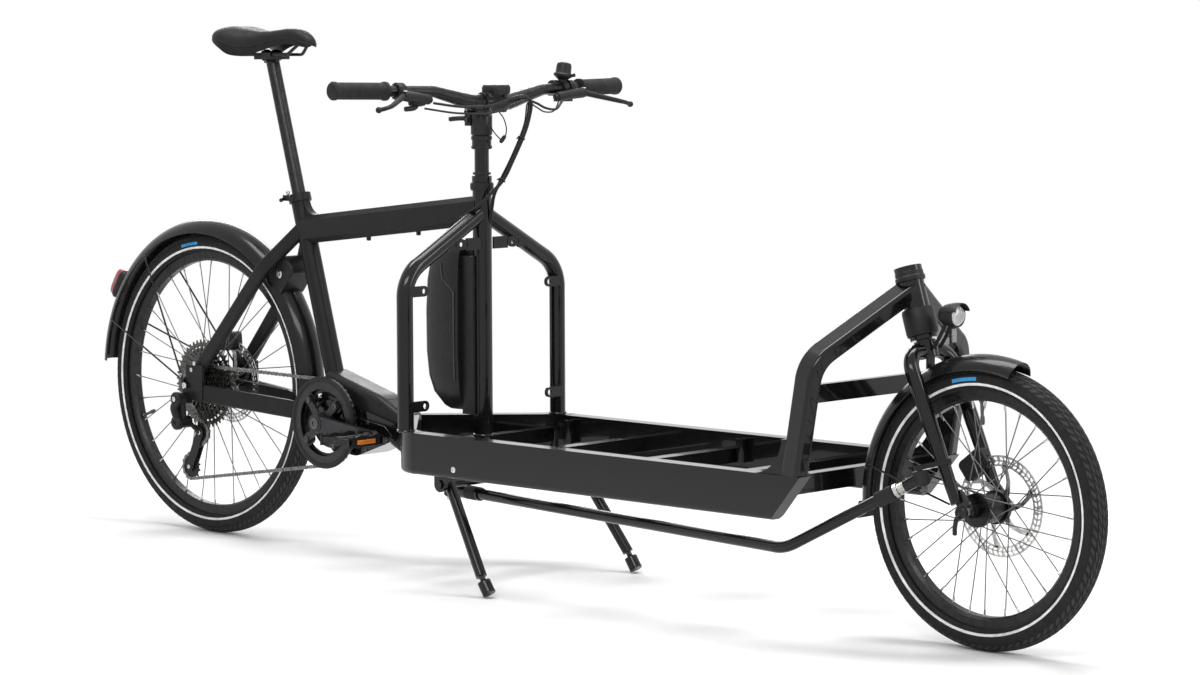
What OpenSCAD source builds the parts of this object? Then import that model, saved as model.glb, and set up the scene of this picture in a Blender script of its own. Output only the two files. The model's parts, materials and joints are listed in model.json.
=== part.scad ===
// Electric cargo bicycle of the long front-loader kind: a low cargo platform between
// the handlebar column and the front wheel, steered through a tie rod under the platform.
// X runs forward, Y to the rider's left and Z up, from the middle of its footprint on the floor.
// It stands on its double-legged stand.

/* [Wheels] */
// Distance between the two axles
wheelbase = 2090; // [2070:5:2110]
// Outer radius of the front tyre
front_tyre_r = 249; // [247:1:251]
// Outer radius of the rear tyre
rear_tyre_r = 325; // [323:1:327]
// Width of both tyres
tyre_w = 47; // [42:1:50]
// Radius at which the front tyre's bead sits
front_bead_r = 203; // [200:1:206]
// Radius at which the rear tyre's bead sits
rear_bead_r = 279.5; // [277:0.5:282]
// Outer width of both rims
rim_w = 26; // [24:1:30]
// Depth of a rim inward from the bead seat
rim_depth = 14; // [10:1:18]
// Height of a rim's flange outside the bead seat
rim_flange = 6; // [4:1:8]
// Number of spokes in each wheel
spoke_count = 32; // [24:4:36]
// Radius of a spoke
spoke_r = 1.1; // [0.9:0.1:1.3]
// Radius of both brake discs
rotor_r = 90; // [82:1:91]

/* [Steering] */
// Lean of the front steering axis from the vertical
head_tilt = 17; // [16.5:0.5:17.5]
// Offset of the front axle ahead of the steering axis
fork_rake = 50; // [47:1:53]
// Outer radius of the front head tube
head_r = 23; // [21:0.5:24]
// Distance of each fork leg from the middle
fork_leg_y = 59; // [58:1:62]
// Radius of a fork leg at its crown
fork_leg_r = 13.5; // [12:0.5:14]
// Length of the steering arms at both ends of the tie rod
arm_length = 95; // [90:1:98]
// Radius of the tie rod
rod_r = 10.5; // [9:0.5:11]

/* [Frame] */
// Distance of the handlebar column ahead of the rear axle
column_x = 835; // [830:1:840]
// Outer radius of the column
column_r = 19; // [18:0.5:20]
// Height of the column's top
column_top = 782; // [775:1:795]
// Distance of the bottom bracket ahead of the rear axle
bracket_x = 418; // [415:1:421]
// Height of the bottom bracket
bracket_z = 275; // [272:1:278]
// Radius of the seat tube
seat_tube_r = 20; // [19:0.5:21]
// Lean of the seat tube from the vertical
seat_tilt = 16; // [15.5:0.5:16.5]
// Height of the top tube's section
top_tube_h = 58; // [52:1:62]
// Width of the top tube's section
top_tube_w = 40; // [38:1:44]
// Radius of the tubes of the side hoops
hoop_r = 16; // [14:0.5:17]
// Distance of each side hoop from the middle
hoop_y = 211; // [207:1:213]

/* [Platform] */
// Half of the platform's overall width
platform_half_w = 226; // [223:1:232]
// Height of the side rails' lower edge
rail_z = 223; // [221:1:226]
// Height of a side rail
rail_h = 81; // [78:1:86]
// Width of a side rail
rail_w = 31; // [28:1:32]
// Distance of the rails' front foot ahead of the rear axle
rail_front_x = 1787; // [1780:1:1795]
// Distance between two cross tubes
cross_pitch = 250; // [240:1:255]
// Number of cross tubes
cross_count = 4; // [3:1:4]
// Side of a cross tube's square section
cross_side = 28; // [24:1:32]
// Radius of the threaded hole in a deck sleeve
sleeve_bore_r = 4.2; // [3:0.1:5]
// Radius of the hole in a panel tab
tab_bore_r = 5.5; // [4:0.1:6]

/* [Drive] */
// Length of a crank
crank_length = 170; // [165:1:175]
// Teeth of the chainring
ring_teeth = 44; // [42:1:45]
// Distance of the chain from the middle
chain_y = 50; // [49.5:0.5:50.5]
// Teeth of the sprocket that the chain runs on
drive_teeth = 21; // [20:1:22]

/* [Handlebar] */
// Half of the handlebar's overall width
bar_half_w = 393; // [370:1:400]
// Height of the handlebar's clamp
bar_z = 941; // [935:1:955]
// Rise of the grips above the clamp
bar_rise = 27; // [15:1:35]
// Distance of the clamp ahead of the column
bar_reach = 26; // [24:1:30]
// Radius of a grip
grip_r = 16.5; // [15:0.5:18]
// Length of a grip
grip_length = 130; // [120:1:140]

/* [Saddle] */
// Height of the saddle's top
saddle_z = 1092; // [1075:1:1105]
// Length of the saddle
saddle_length = 278; // [270:1:285]
// Width of the saddle
saddle_w = 150; // [145:1:165]

/* [Stand] */
// Length of a stand leg from its pivot to its foot
stand_length = 240; // [236:1:246]
// Height of the stand's pivot
stand_pivot_z = 206; // [204:1:208]
// Distance of each stand foot from the middle
stand_foot_y = 205; // [198:1:215]

/* [Hidden] */
$fn = 48;

// Clearances
running_gap = 0.4;
seat_gap = 0.3;
// How far a straight piece runs into a bend, and how much fuller the bend's section is
weld = 0.5;
bend_swell = 1.01;

// The box's middle lies between the rear mudguard's tail and the front tyre
rear_guard_r = rear_tyre_r + 29;
rear_guard_shift = 12;
rear_guard_tail = 172;
rear_reach = rear_guard_shift - rear_guard_r * cos(rear_guard_tail);
rear_axle_x = (rear_reach - wheelbase - front_tyre_r) / 2;
front_guard_r = front_tyre_r + 21;
guard_w = 58;
guard_t = 2;
guard_arch = 60;
guard_stay_r = 2;

rear_centre = [0, 0, rear_tyre_r];
front_centre = [wheelbase, 0, front_tyre_r];
rear_guard_centre = rear_centre - [rear_guard_shift, 0, 0];

// Front steering axis
head_up = [-sin(head_tilt), 0, cos(head_tilt)];
head_foot = front_centre - [fork_rake / cos(head_tilt), 0, 0];
function on_head(z) = head_foot + head_up * (z - front_centre[2]) / head_up[2];
head_low_z = 536;
head_high_z = 656;
head_lip = 2;
crown_gap = 3;
crown_r = 20;
crown_h = 30;
steer_r = 14.5;
crown = on_head(head_low_z) - head_up * crown_gap;
fork_foot = front_centre + [-20, fork_leg_y, 12];
fork_knee = crown + [6, fork_leg_y, -16];
fork_mid = fork_knee + (fork_foot - fork_knee) * 0.45;

// Tie rod, which joins the two arms on the right
rod_rear = [column_x, -arm_length * cos(head_tilt), 178];
rod_front = on_head(306) + [0, -arm_length, 0];
rod_bend = [1792, -192, 170];
eye_r = 13;
eye_h = 22;
eye_gap = 1;
stud_r = 5;
stud_gap = 3;
arm_t = 9;
arm_w = 28;

// Platform
rail_top = rail_z + rail_h;
rail_mid_y = platform_half_w - rail_w / 2;
rail_inner_y = platform_half_w - rail_w;
rail_bend_x = column_x + 6;
rail_bend_r = 70;
rail_edge_r = 9;
rail_nose_slope = 40;
boom_end_x = 640;
cross_x = [for (k = [0 : cross_count - 1]) column_x - 3 + k * cross_pitch];
cross_top = rail_top - 27;
front_cross_x = 1779;
front_cross_size = [24, 34];
sleeve_y = 184;
sleeve_r = 10;
sleeve_x = [column_x + 58, cross_x[2] + cross_side / 2 + sleeve_r + 2];
sleeve_top = rail_top - 8;
sleeve_length = 46;

// Side hoops
hoop_foot_z = rail_top + rail_h * (bend_swell - 1) / 2 + 0.05;
hoop_corner_z = 606;
hoop_join_z = 724;
hoop_bend_r = 75;
tab_z = [351, 576];
tab_y = 173;
tab_t = 5;
tab_rim = 5;

// Column, seat tube and top tube
column_foot = rod_rear[2] + eye_h / 2 + eye_gap + arm_t + 3;
seat_up = [-sin(seat_tilt), 0, cos(seat_tilt)];
bracket = [bracket_x, 0, bracket_z];
function on_seat(z) = bracket + seat_up * (z - bracket_z) / seat_up[2];
seat_low_z = bracket_z + 50;
seat_high_z = 742;
seat_collar_h = 16;
seat_collar_t = 4;
seat_post_r = 14.2;
top_tube_rear = on_seat(668);
top_tube_front = [column_x, 0, 727];
top_tube_chamfer = 10;
top_tube_fill_r = 34;

// Stays and boom
dropout_y = 72;
dropout_t = 7;
seat_stay_size = [16, 32];
seat_stay_path = [[28, dropout_y - seat_stay_size[0] / 2 - seat_gap, rear_tyre_r + 36], [228, 54, 586],
                  on_seat(666) + [-6, 12, 0]];
chain_stay_rear = [36, dropout_y, rear_tyre_r - 14];
chain_stay_front = [bracket_x - 46, 33, bracket_z + 13];
chain_stay_x = 250;
chain_stay_fall = (chain_stay_front[2] - chain_stay_rear[2]) / (chain_stay_front[0] - chain_stay_rear[0]);
chain_stay_z = chain_stay_rear[2] + chain_stay_fall * (chain_stay_x - chain_stay_rear[0]);
chain_stay_path = [chain_stay_rear, [chain_stay_x, 46, chain_stay_z], chain_stay_front];
boom_path = [[392, 0, 344], [545, 0, 303], [668, 0, 243]];
bridge_r = 6;
bridge_way = unit([seat_stay_path[1][0], 0, seat_stay_path[1][2]] - rear_guard_centre);
bridge_at = rear_guard_centre + bridge_way * (rear_guard_r + bridge_r + seat_gap);

// Battery pack behind the column
battery_size = [108, 84, 322];
battery_gap = 14;
battery_x = column_x - column_r - battery_gap - battery_size[0];
battery_z = 328;

// Front uprights
upright_foot = [1828, rail_mid_y, rail_top - 12];
upright_knee = [1864, rail_mid_y - 3, 505];
upright_top = on_head(626);
upright_size = [30, 44];
upright_bend_r = 62;
front_bar_z = 448;
front_bar_size = [14, 32];

// Drive
chain_pitch = 12.7;
function pitch_r(teeth) = chain_pitch / (2 * sin(180 / teeth));
ring_r = pitch_r(ring_teeth);
ring_guard_r = ring_r + 7;
ring_bolt_r = 58;
guard_ring_y = 6;
guard_ring_t = 3;
spider_t = 6;
axle_r = 12;
crank_drop = 5;
crank_in_y = chain_y + 18;
crank_t = 14;
pedal_y = crank_in_y + crank_t + 4;
pedal_size = [96, 92, 26];
spindle_r = 4.5;
chain_half_w = 2.6;
chain_plate_t = 1.2;
chain_plate_h = 4.2;
chain_core_h = 1.7;
tooth_clear = 2.4;
sprocket_t = 1.6;
sprocket_pitch = 3.7;
sprocket_teeth = [46, 40, 36, 32, 28, 24, drive_teeth, 19, 17, 15, 13, 11];
drive_place = 6;
freehub_r = 13;
guide_teeth = 11;
guide_at = [14, rear_tyre_r - 103];
tension_teeth = 13;
tension_at = [-22, rear_tyre_r - 180];

// Hubs
rear_pin_r = 6;
front_pin_r = 4.5;
fork_end_y = 50;
fork_end_t = 8;
front_flange_r = 30;
front_flange_y = 27;
rear_flange_r = 29;
rear_flange_y = 20;
front_rotor_y = 40;
rear_rotor_y = 46;
rotor_t = 1.9;

// Handlebar
bar_centre = [column_x + bar_reach, 0, bar_z];
bar_sweep = 30;
bar_r = 11.1;
bar_clamp_r = 15.9;
bar_path = [bar_centre - [0, 2, 0], bar_centre + [0, 46, 0], bar_centre + [-4, 150, bar_rise - 4],
            bar_centre + [-bar_sweep, bar_half_w, bar_rise]];
bar_end = bar_path[3];
grip_way = unit(bar_path[3] - bar_path[2]);
grip_in = bar_end - grip_way * grip_length;
stem_z = bar_z - 66;
stem_clamp_r = 24;
stem_clamp_w = 56;
steerer_top = bar_z - 40;

// Saddle
saddle_clamp = on_seat(saddle_z - 62);
saddle_mid = saddle_clamp - [4, 0, 0];
saddle_rail_r = 3.5;
saddle_rail_y = 21;

// Headlamp
headlight_at = on_head(582) + [80, 0, 0];
headlight_r = 20;

// Stand
stand_pivot = [column_x + 90, 0, stand_pivot_z];
stand_tube_r = 9;
stand_leg_r = 11;
stand_foot_r = 13;
stand_foot_h = 26;
stand_root_y = 180;
stand_bracket_y = 199;
stand_bracket_t = 8;
stand_bracket_r = stand_tube_r + 6;
stand_lean = acos(stand_pivot_z / norm([stand_length, stand_foot_r]))
             + atan(stand_foot_r / stand_length);

// Vector helpers
function unit(v) = v / norm(v);
function planar_normal(a, b, c) = unit(cross(b - a, c - b));
function turn(path, i) = acos(unit(path[i] - path[i - 1]) * unit(path[i + 1] - path[i]));
function setback(path, i, r) = i <= 0 || i >= len(path) - 1 ? 0 : r * tan(turn(path, i) / 2);
function bend_normal(path, i) =
    let (k = max(0, min(i, len(path) - 3)))
    planar_normal(path[k], path[k + 1], path[k + 2]);
function beside(d) = abs(d[1]) < 0.9 ? unit([0, 1, 0] - d * d[1]) : unit([1, 0, 0] - d * d[0]);

// Stands children at p with their z along d and their y along n
module aim(p, d, n) {
    x = cross(n, d);
    multmatrix([[x[0], n[0], d[0], p[0]],
                [x[1], n[1], d[1], p[1]],
                [x[2], n[2], d[2], p[2]],
                [0, 0, 0, 1]]) children();
}

// A bar with the 2-D child as its section, from a to b, the section's y lying near Y
module bar(a, b) {
    d = unit(b - a);
    aim(a, d, beside(d)) linear_extrude(norm(b - a)) children();
}

module round_bar(a, b, r) {
    bar(a, b) circle(r);
}

module cone_bar(a, b, r1, r2) {
    d = unit(b - a);
    aim(a, d, beside(d)) cylinder(r1 = r1, r2 = r2, h = norm(b - a));
}

// A bar bent at every inner point of its path, with the 2-D child as its section
module bent_bar(path, r) {
    last = len(path) - 1;
    for (i = [0 : last - 1]) {
        d = unit(path[i + 1] - path[i]);
        from = i == 0 ? 0 : setback(path, i, r) - weld;
        to = norm(path[i + 1] - path[i]) - (i == last - 1 ? 0 : setback(path, i + 1, r) - weld);
        aim(path[i] + d * from, d, bend_normal(path, i)) linear_extrude(to - from) children();
    }
    for (i = [1 : last - 1]) {
        u = unit(path[i] - path[i - 1]);
        v = unit(path[i + 1] - path[i]);
        w = unit(v - u * (u * v));
        n = cross(u, w);
        centre = path[i] - u * setback(path, i, r) + w * r;
        multmatrix([[-w[0], u[0], n[0], centre[0]],
                    [-w[1], u[1], n[1], centre[1]],
                    [-w[2], u[2], n[2], centre[2]],
                    [0, 0, 0, 1]])
            rotate_extrude(angle = turn(path, i)) translate([r, 0]) scale(bend_swell) children();
    }
}

module rounded(w, h, r) {
    square([w - 2 * r, h], center = true);
    square([w, h - 2 * r], center = true);
    for (x = [-1, 1], y = [-1, 1])
        translate([x * (w / 2 - r), y * (h / 2 - r)]) circle(r, $fn = 24);
}

// Turns a shape made about the z axis so that it spins about y
module about_y() {
    rotate([-90, 0, 0]) children();
}

// Stretches a 2-D side view, with x forward and y up, across the middle plane
module side_view(half_w) {
    rotate([90, 0, 0]) linear_extrude(2 * half_w, center = true) children();
}

module both_sides() {
    children();
    mirror([0, 1, 0]) children();
}

module at_front() translate(front_centre) children();
module at_rear() translate(rear_centre) children();
module at_bracket(y) translate([bracket_x, y, bracket_z]) children();

// Fills the inner corner between two edges that leave the corner along u and v
module corner_fill(corner, u, v, r, root) {
    half = acos(u * v) / 2;
    reach = r / tan(half);
    centre = corner + unit(u + v) * r / sin(half);
    difference() {
        polygon([corner - (u + v) * root, corner + u * reach - v * root, centre,
                 corner + v * reach - u * root]);
        translate(centre) circle(r);
    }
}

// Wheels
module tyre(r, bead) {
    about_y() rotate_extrude($fn = 96) {
        intersection() {
            translate([r - tyre_w / 2, 0]) circle(tyre_w / 2);
            translate([bead + rim_flange, -tyre_w]) square([tyre_w * 2, tyre_w * 2]);
        }
        translate([bead, -rim_w / 2 + 2]) square([rim_flange + 4, rim_w - 4]);
    }
}

module rim(bead) {
    inner = bead - rim_depth;
    half = rim_w / 2;
    about_y() rotate_extrude($fn = 96)
        polygon([[inner, -half + 5], [inner + 5, -half], [bead + rim_flange, -half],
                 [bead + rim_flange, -half + 2], [bead, -half + 2], [bead, half - 2],
                 [bead + rim_flange, half - 2], [bead + rim_flange, half],
                 [inner + 5, half], [inner, half - 5]]);
}

// Tangent spokes, crossing in pairs from the two faces of each flange
module spokes(bead, flange_r, flange_y) {
    per_side = spoke_count / 2;
    lead = 62;
    face = 3;
    inner = bead - rim_depth;
    intersection() {
        difference() {
            for (side = [-1, 1], k = [0 : per_side - 1]) {
                way = k % 2 == 0 ? 1 : -1;
                a = k * 360 / per_side + (side > 0 ? 180 / per_side : 0);
                hub_end = [(flange_r - 3) * cos(a + way * lead), side * (flange_y + way * face),
                           (flange_r - 3) * sin(a + way * lead)];
                rim_end = [(inner + 4) * cos(a), side * (3 + way * 2), (inner + 4) * sin(a)];
                round_bar(hub_end, rim_end, spoke_r, $fn = 16);
            }
            about_y() cylinder(r = flange_r, h = 300, center = true);
        }
        about_y() cylinder(r = inner, h = 300, center = true, $fn = 96);
    }
}

// Brake disc: a braking ring on slanted arms
module rotor(carrier_r) {
    ring_w = 15;
    arms = 6;
    spoke_w = 8;
    about_y() difference() {
        union() {
            difference() {
                cylinder(r = rotor_r, h = rotor_t, center = true, $fn = 96);
                cylinder(r = rotor_r - ring_w, h = 10, center = true, $fn = 96);
            }
            cylinder(r = carrier_r + 9, h = rotor_t, center = true);
            arm = sqrt(pow(rotor_r - ring_w + 2, 2) - pow(carrier_r + spoke_w, 2));
            for (k = [0 : arms - 1]) rotate(k * 360 / arms)
                translate([0, carrier_r, -rotor_t / 2]) cube([arm, spoke_w, rotor_t]);
        }
        cylinder(r = carrier_r, h = 10, center = true);
    }
}

// Disc brake caliper that straddles a disc's edge at an angle round the axle
module caliper(angle, disc_y, half_w) {
    depth = 40;
    slot = 4;
    difference() {
        rotate([0, -angle, 0]) translate([rotor_r - 22 + depth / 2, disc_y, 0])
            rotate([90, 0, 0]) linear_extrude(2 * half_w, center = true) rounded(depth, 58, 9);
        translate([0, disc_y, 0]) about_y() cylinder(r = rotor_r + 3, h = slot, center = true, $fn = 96);
    }
}

module sprocket(teeth, t) {
    cylinder(r = pitch_r(teeth) - tooth_clear, h = t, center = true, $fn = 60);
}

// The chain's line is wound round discs [x, z, radius, sense], taken in order
chain_discs = [
    [bracket_x, bracket_z, ring_r, 1],
    [0, rear_tyre_r, pitch_r(drive_teeth), 1],
    [guide_at[0], guide_at[1], pitch_r(guide_teeth), -1],
    [tension_at[0], tension_at[1], pitch_r(tension_teeth), 1]
];

// Angle of the outward normal of the straight run from disc a to disc b
function run_normal(a, b) =
    let (d = [b[0] - a[0], b[1] - a[1]])
    atan2(d[1], d[0]) - 90 + asin((a[2] * a[3] - b[2] * b[3]) / norm(d));
function disc_point(a, angle, off) =
    [a[0] + (a[2] * a[3] + off) * cos(angle), a[1] + (a[2] * a[3] + off) * sin(angle)];
function wrap(angle, sense) =
    sense > 0 ? angle - 360 * floor(angle / 360) : angle - 360 * ceil(angle / 360);

function arc_points(before, a, after, off, steps) =
    let (from = run_normal(before, a), sweep = wrap(run_normal(a, after) - from, a[3]))
    [for (k = [0 : steps]) disc_point(a, from + sweep * k / steps, off)];

function chain_outline(off, steps = 20) =
    let (n = len(chain_discs))
    [for (i = [0 : n - 1])
        each arc_points(chain_discs[(i + n - 1) % n], chain_discs[i],
                        chain_discs[(i + 1) % n], off, steps)];

module chain_layer(half_h) {
    difference() {
        polygon(chain_outline(half_h));
        polygon(chain_outline(-half_h));
    }
}

// Frame
module column_line(r) {
    translate([column_x, 0, 0]) cylinder(r = r, h = column_top + 1);
}

module column() color("#161616") {
    difference() {
        union() {
            translate([column_x, 0, column_foot]) cylinder(r = column_r, h = column_top - column_foot);
            translate([column_x, 0, column_top - 16]) cylinder(r = column_r + 3.5, h = 16);
        }
        column_line(steer_r + running_gap);
    }
}

module seat_line(r) {
    bar(on_seat(seat_low_z), on_seat(seat_high_z)) circle(r);
}

module top_tube_line() {
    h = top_tube_h / 2;
    w = top_tube_w / 2;
    c = top_tube_chamfer;
    bar(top_tube_rear, top_tube_front)
        polygon([[-h, -w + c], [-h + c, -w], [h - c, -w], [h, -w + c],
                 [h, w - c], [h - c, w], [-h + c, w], [-h, w - c]]);
}

module top_tube() color("#1c1c1c") {
    along = unit(top_tube_front - top_tube_rear);
    top_edge = top_tube_rear + cross(along, [0, 1, 0]) * top_tube_h / 2;
    // Where the seat tube's front edge meets the top tube's upper edge
    share = (on_seat(top_edge[2])[0] + seat_tube_r / cos(seat_tilt) - top_edge[0])
            / (along[0] + along[2] * tan(seat_tilt));
    corner = top_edge + along * share;
    difference() {
        union() {
            top_tube_line();
            side_view(9) corner_fill([corner[0], corner[2]], [seat_up[0], seat_up[2]],
                                     [along[0], along[2]], top_tube_fill_r, 12);
        }
        column_line(column_r);
        seat_line(seat_tube_r);
    }
}

module seat_tube() color("#1c1c1c") {
    lever = on_seat(seat_high_z - seat_collar_h / 2);
    difference() {
        union() {
            seat_line(seat_tube_r);
            bar(on_seat(seat_high_z - seat_collar_h), on_seat(seat_high_z))
                circle(seat_tube_r + seat_collar_t);
            translate(lever - [seat_tube_r + 14, 18, 6]) cube([18, 36, 12]);
        }
        bar(on_seat(seat_high_z - 130), on_seat(seat_high_z + 50)) circle(seat_post_r + 0.05);
    }
}

module seat_stay_line() {
    bent_bar(seat_stay_path, 90) rounded(seat_stay_size[0], seat_stay_size[1], 6);
}

module chain_stay_line() {
    bent_bar(chain_stay_path, 160) rounded(14, 38, 5);
}

// The stays carry a bridge on which the rear mudguard hangs
module seat_stays() color("#1c1c1c") {
    difference() {
        union() {
            both_sides() seat_stay_line();
            round_bar(bridge_at - [0, 52, 0], bridge_at + [0, 52, 0], bridge_r);
        }
        seat_line(seat_tube_r);
        top_tube_line();
    }
}

module dropout() {
    translate([0, dropout_y, 0]) rotate([90, 0, 0]) mirror([0, 0, 1]) linear_extrude(dropout_t) {
        translate([0, rear_tyre_r]) circle(18);
        translate([-2, rear_tyre_r - 30]) square([54, 76]);
        translate([-14, rear_tyre_r - 38]) square([24, 34]);
    }
}

module chain_stays() color("#1c1c1c") {
    both_sides() difference() {
        union() {
            chain_stay_line();
            dropout();
        }
        at_rear() about_y() cylinder(r = rear_pin_r, h = 300, center = true);
    }
}

module boom_line() {
    bent_bar(boom_path, 130) rounded(74, 70, 17);
}

module boom() color("#1c1c1c") {
    difference() {
        boom_line();
        seat_line(seat_tube_r);
        both_sides() rail_line();
        translate([boom_end_x + 10, -100, 0]) cube([200, 200, 600]);
    }
}

module motor() color("#141414") {
    difference() {
        side_view(40) hull() {
            translate([bracket_x, bracket_z]) circle(54);
            translate([bracket_x + 76, bracket_z - 14]) circle(50);
            translate([bracket_x + 186, bracket_z - 6]) circle(20);
        }
        boom_line();
        seat_line(seat_tube_r);
        at_bracket(0) about_y() cylinder(r = axle_r + running_gap, h = 300, center = true);
        both_sides() {
            chain_stay_line();
            rail_line();
        }
    }
}

module battery() color("#2c2c2e") {
    l = battery_size[0];
    h = battery_size[2];
    translate([battery_x, 0, battery_z]) intersection() {
        translate([l / 2, 0, 0]) linear_extrude(h) rounded(l, battery_size[1], 24);
        side_view(100) polygon([[0, h - 12], [0, 92], [15, 36], [56, 2], [72, 0], [l, 0], [l, h], [14, h]]);
    }
}

module battery_cradle() color("#101010") {
    difference() {
        translate([battery_x + battery_size[0], -26, battery_z - 8]) cube([32, 52, battery_size[2] - 6]);
        column_line(column_r);
    }
}

module hoop_line() {
    bent_bar([[column_x, hoop_y, hoop_foot_z], [column_x, hoop_y, hoop_corner_z],
              [column_x, 0, hoop_join_z]], hoop_bend_r) circle(hoop_r);
}

// Flat lug with a hole, which takes a bolt of the load panel
module tab(z) {
    r = tab_bore_r + tab_rim;
    translate([column_x + hoop_r - tab_t, 0, z]) rotate([0, 90, 0]) difference() {
        union() {
            translate([0, tab_y, 0]) cylinder(r = r, h = tab_t);
            translate([-r, tab_y, 0]) cube([2 * r, hoop_y - tab_y, tab_t]);
        }
        translate([0, tab_y, -1]) cylinder(r = tab_bore_r, h = tab_t + 2);
    }
}

module hoop() {
    difference() {
        union() {
            hoop_line();
            for (z = tab_z) tab(z);
        }
        column_line(column_r);
        translate([column_x - 100, -200, 0]) cube([200, 200, 900]);
        top_tube_line();
    }
}

module hoop_left() color("#161616") hoop();
module hoop_right() color("#161616") mirror([0, 1, 0]) hoop();

// The rail's lower edges are rounded
module rail_section() {
    r = rail_edge_r;
    translate([-rail_w / 2, -rail_h / 2]) {
        translate([0, r]) square([rail_w, rail_h - r]);
        translate([r, 0]) square([rail_w - 2 * r, rail_h - r]);
        for (x = [r, rail_w - r]) translate([x, r]) circle(r, $fn = 32);
    }
}

// The rail turns in behind the column and runs to the boom, and its nose is cut on a slant
module rail_line() {
    z = rail_z + rail_h / 2;
    difference() {
        bent_bar([[boom_end_x, 14, z], [rail_bend_x, rail_mid_y, z],
                  [rail_front_x + 160, rail_mid_y, z]], rail_bend_r) rotate(180) rail_section();
        translate([rail_front_x, 0, rail_z]) rotate([0, rail_nose_slope, 0])
            translate([0, 0, -200]) cube([300, 400, 500]);
        translate([boom_end_x - 100, -400, 0]) cube([400, 400, 500]);
    }
}

// Threaded sleeve that takes a bolt of the deck
module sleeve(x) {
    translate([x, sleeve_y, sleeve_top - sleeve_length]) {
        cylinder(r = sleeve_r, h = sleeve_length);
        translate([-6, 0, 0]) cube([12, rail_inner_y - sleeve_y + 2, sleeve_length]);
    }
}

module stand_bracket() {
    r = stand_bracket_r;
    difference() {
        translate([stand_pivot[0], stand_bracket_y + stand_bracket_t, 0]) rotate([90, 0, 0])
            linear_extrude(stand_bracket_t) {
                translate([0, stand_pivot_z]) circle(r);
                translate([-r, stand_pivot_z]) square([2 * r, rail_z + 4 - stand_pivot_z]);
            }
        translate(stand_pivot) about_y() cylinder(r = stand_tube_r + running_gap, h = 600, center = true);
    }
}

module rail() {
    difference() {
        union() {
            rail_line();
            for (x = sleeve_x) sleeve(x);
            stand_bracket();
        }
        for (x = sleeve_x) translate([x, sleeve_y, 0]) cylinder(r = sleeve_bore_r, h = 600);
    }
}

module rail_left() color("#1b1b1b") rail();
module rail_right() color("#1b1b1b") mirror([0, 1, 0]) rail();

module cross_members() color("#141414") {
    difference() {
        union() {
            for (x = cross_x)
                translate([x - cross_side / 2, -rail_inner_y, cross_top - cross_side])
                    cube([cross_side, 2 * rail_inner_y, cross_side]);
            translate([front_cross_x, -rail_inner_y, rail_top - 6 - front_cross_size[1]])
                cube([front_cross_size[0], 2 * rail_inner_y, front_cross_size[1]]);
        }
        both_sides() rail_line();
        column_line(column_r);
    }
}

module upright_line() {
    bent_bar([upright_foot, upright_knee, upright_top], upright_bend_r)
        rounded(upright_size[0], upright_size[1], 7);
}

module head_line(r, beyond = 0) {
    bar(on_head(head_low_z - beyond), on_head(head_high_z + beyond)) circle(r);
}

module upright() {
    difference() {
        upright_line();
        head_line(head_r, 90);
        translate([upright_foot[0] - 200, 0, rail_top - 100]) cube([400, 400, 100]);
        translate([1600, -300, 300]) cube([600, 301, 600]);
    }
}

module upright_left() color("#161616") upright();
module upright_right() color("#161616") mirror([0, 1, 0]) upright();

module front_bar() color("#141414") {
    t = front_bar_size[0];
    h = front_bar_size[1];
    difference() {
        translate([upright_knee[0] - 16, -rail_mid_y, front_bar_z - h / 2]) cube([t, 2 * rail_mid_y, h]);
        both_sides() upright_line();
    }
}

module front_head() color("#161616") {
    cap = on_head(head_high_z);
    difference() {
        union() {
            head_line(head_r);
            bar(on_head(head_low_z), on_head(head_low_z + 14)) circle(head_r + head_lip);
            bar(cap - head_up * 4, cap + head_up * 6) circle(head_r + head_lip);
        }
        bar(on_head(head_low_z - 60), cap - head_up * 6) circle(steer_r + running_gap);
    }
}

module saddle_rails() {
    both_sides() bent_bar([saddle_clamp + [-116, 30, 32], saddle_clamp + [-84, saddle_rail_y, 4],
                           saddle_clamp + [74, saddle_rail_y, 4], saddle_clamp + [112, 10, 34]], 20)
        circle(saddle_rail_r);
}

module seat_post() color("#1a1a1a") {
    clamp_y = saddle_rail_y + 6;
    bar(on_seat(seat_high_z - 100), saddle_clamp) circle(seat_post_r);
    translate(saddle_clamp - [26, clamp_y, 6]) cube([52, 2 * clamp_y, 14]);
    saddle_rails();
}

// Width of the saddle at a share s of its length, from tail to nose
function saddle_width(s) =
    saddle_w * (0.24 + 0.76 / (1 + exp((s - 0.42) * 14))) * sqrt(1 - pow(abs(2 * s - 1), 7));

module saddle_shell() {
    steps = 18;
    sides = 20;
    ring = function (k)
        let (s = 0.012 + 0.976 * k / steps, w = saddle_width(s), h = 50 - 18 * s,
             dip = 12 * sin(180 * s) - 3 * s)
        [for (j = [0 : sides - 1]) let (a = 360 * j / sides)
            [saddle_mid[0] - saddle_length / 2 + saddle_length * s, w / 2 * cos(a),
             saddle_z - dip - h * 0.4 + h * (sin(a) > 0 ? 0.4 : 0.6) * sin(a)]];
    points = [for (k = [0 : steps]) each ring(k)];
    faces = concat(
        [[for (j = [0 : sides - 1]) j]],
        [for (k = [0 : steps - 1], j = [0 : sides - 1])
            [k * sides + j, (k + 1) * sides + j,
             (k + 1) * sides + (j + 1) % sides, k * sides + (j + 1) % sides]],
        [[for (j = [sides - 1 : -1 : 0]) steps * sides + j]]);
    polyhedron(points, faces);
}

module saddle() color("#2a2a2a") {
    difference() {
        saddle_shell();
        translate(saddle_clamp + [-200, -100, -60]) cube([400, 200, 82]);
        saddle_rails();
    }
}

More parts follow.
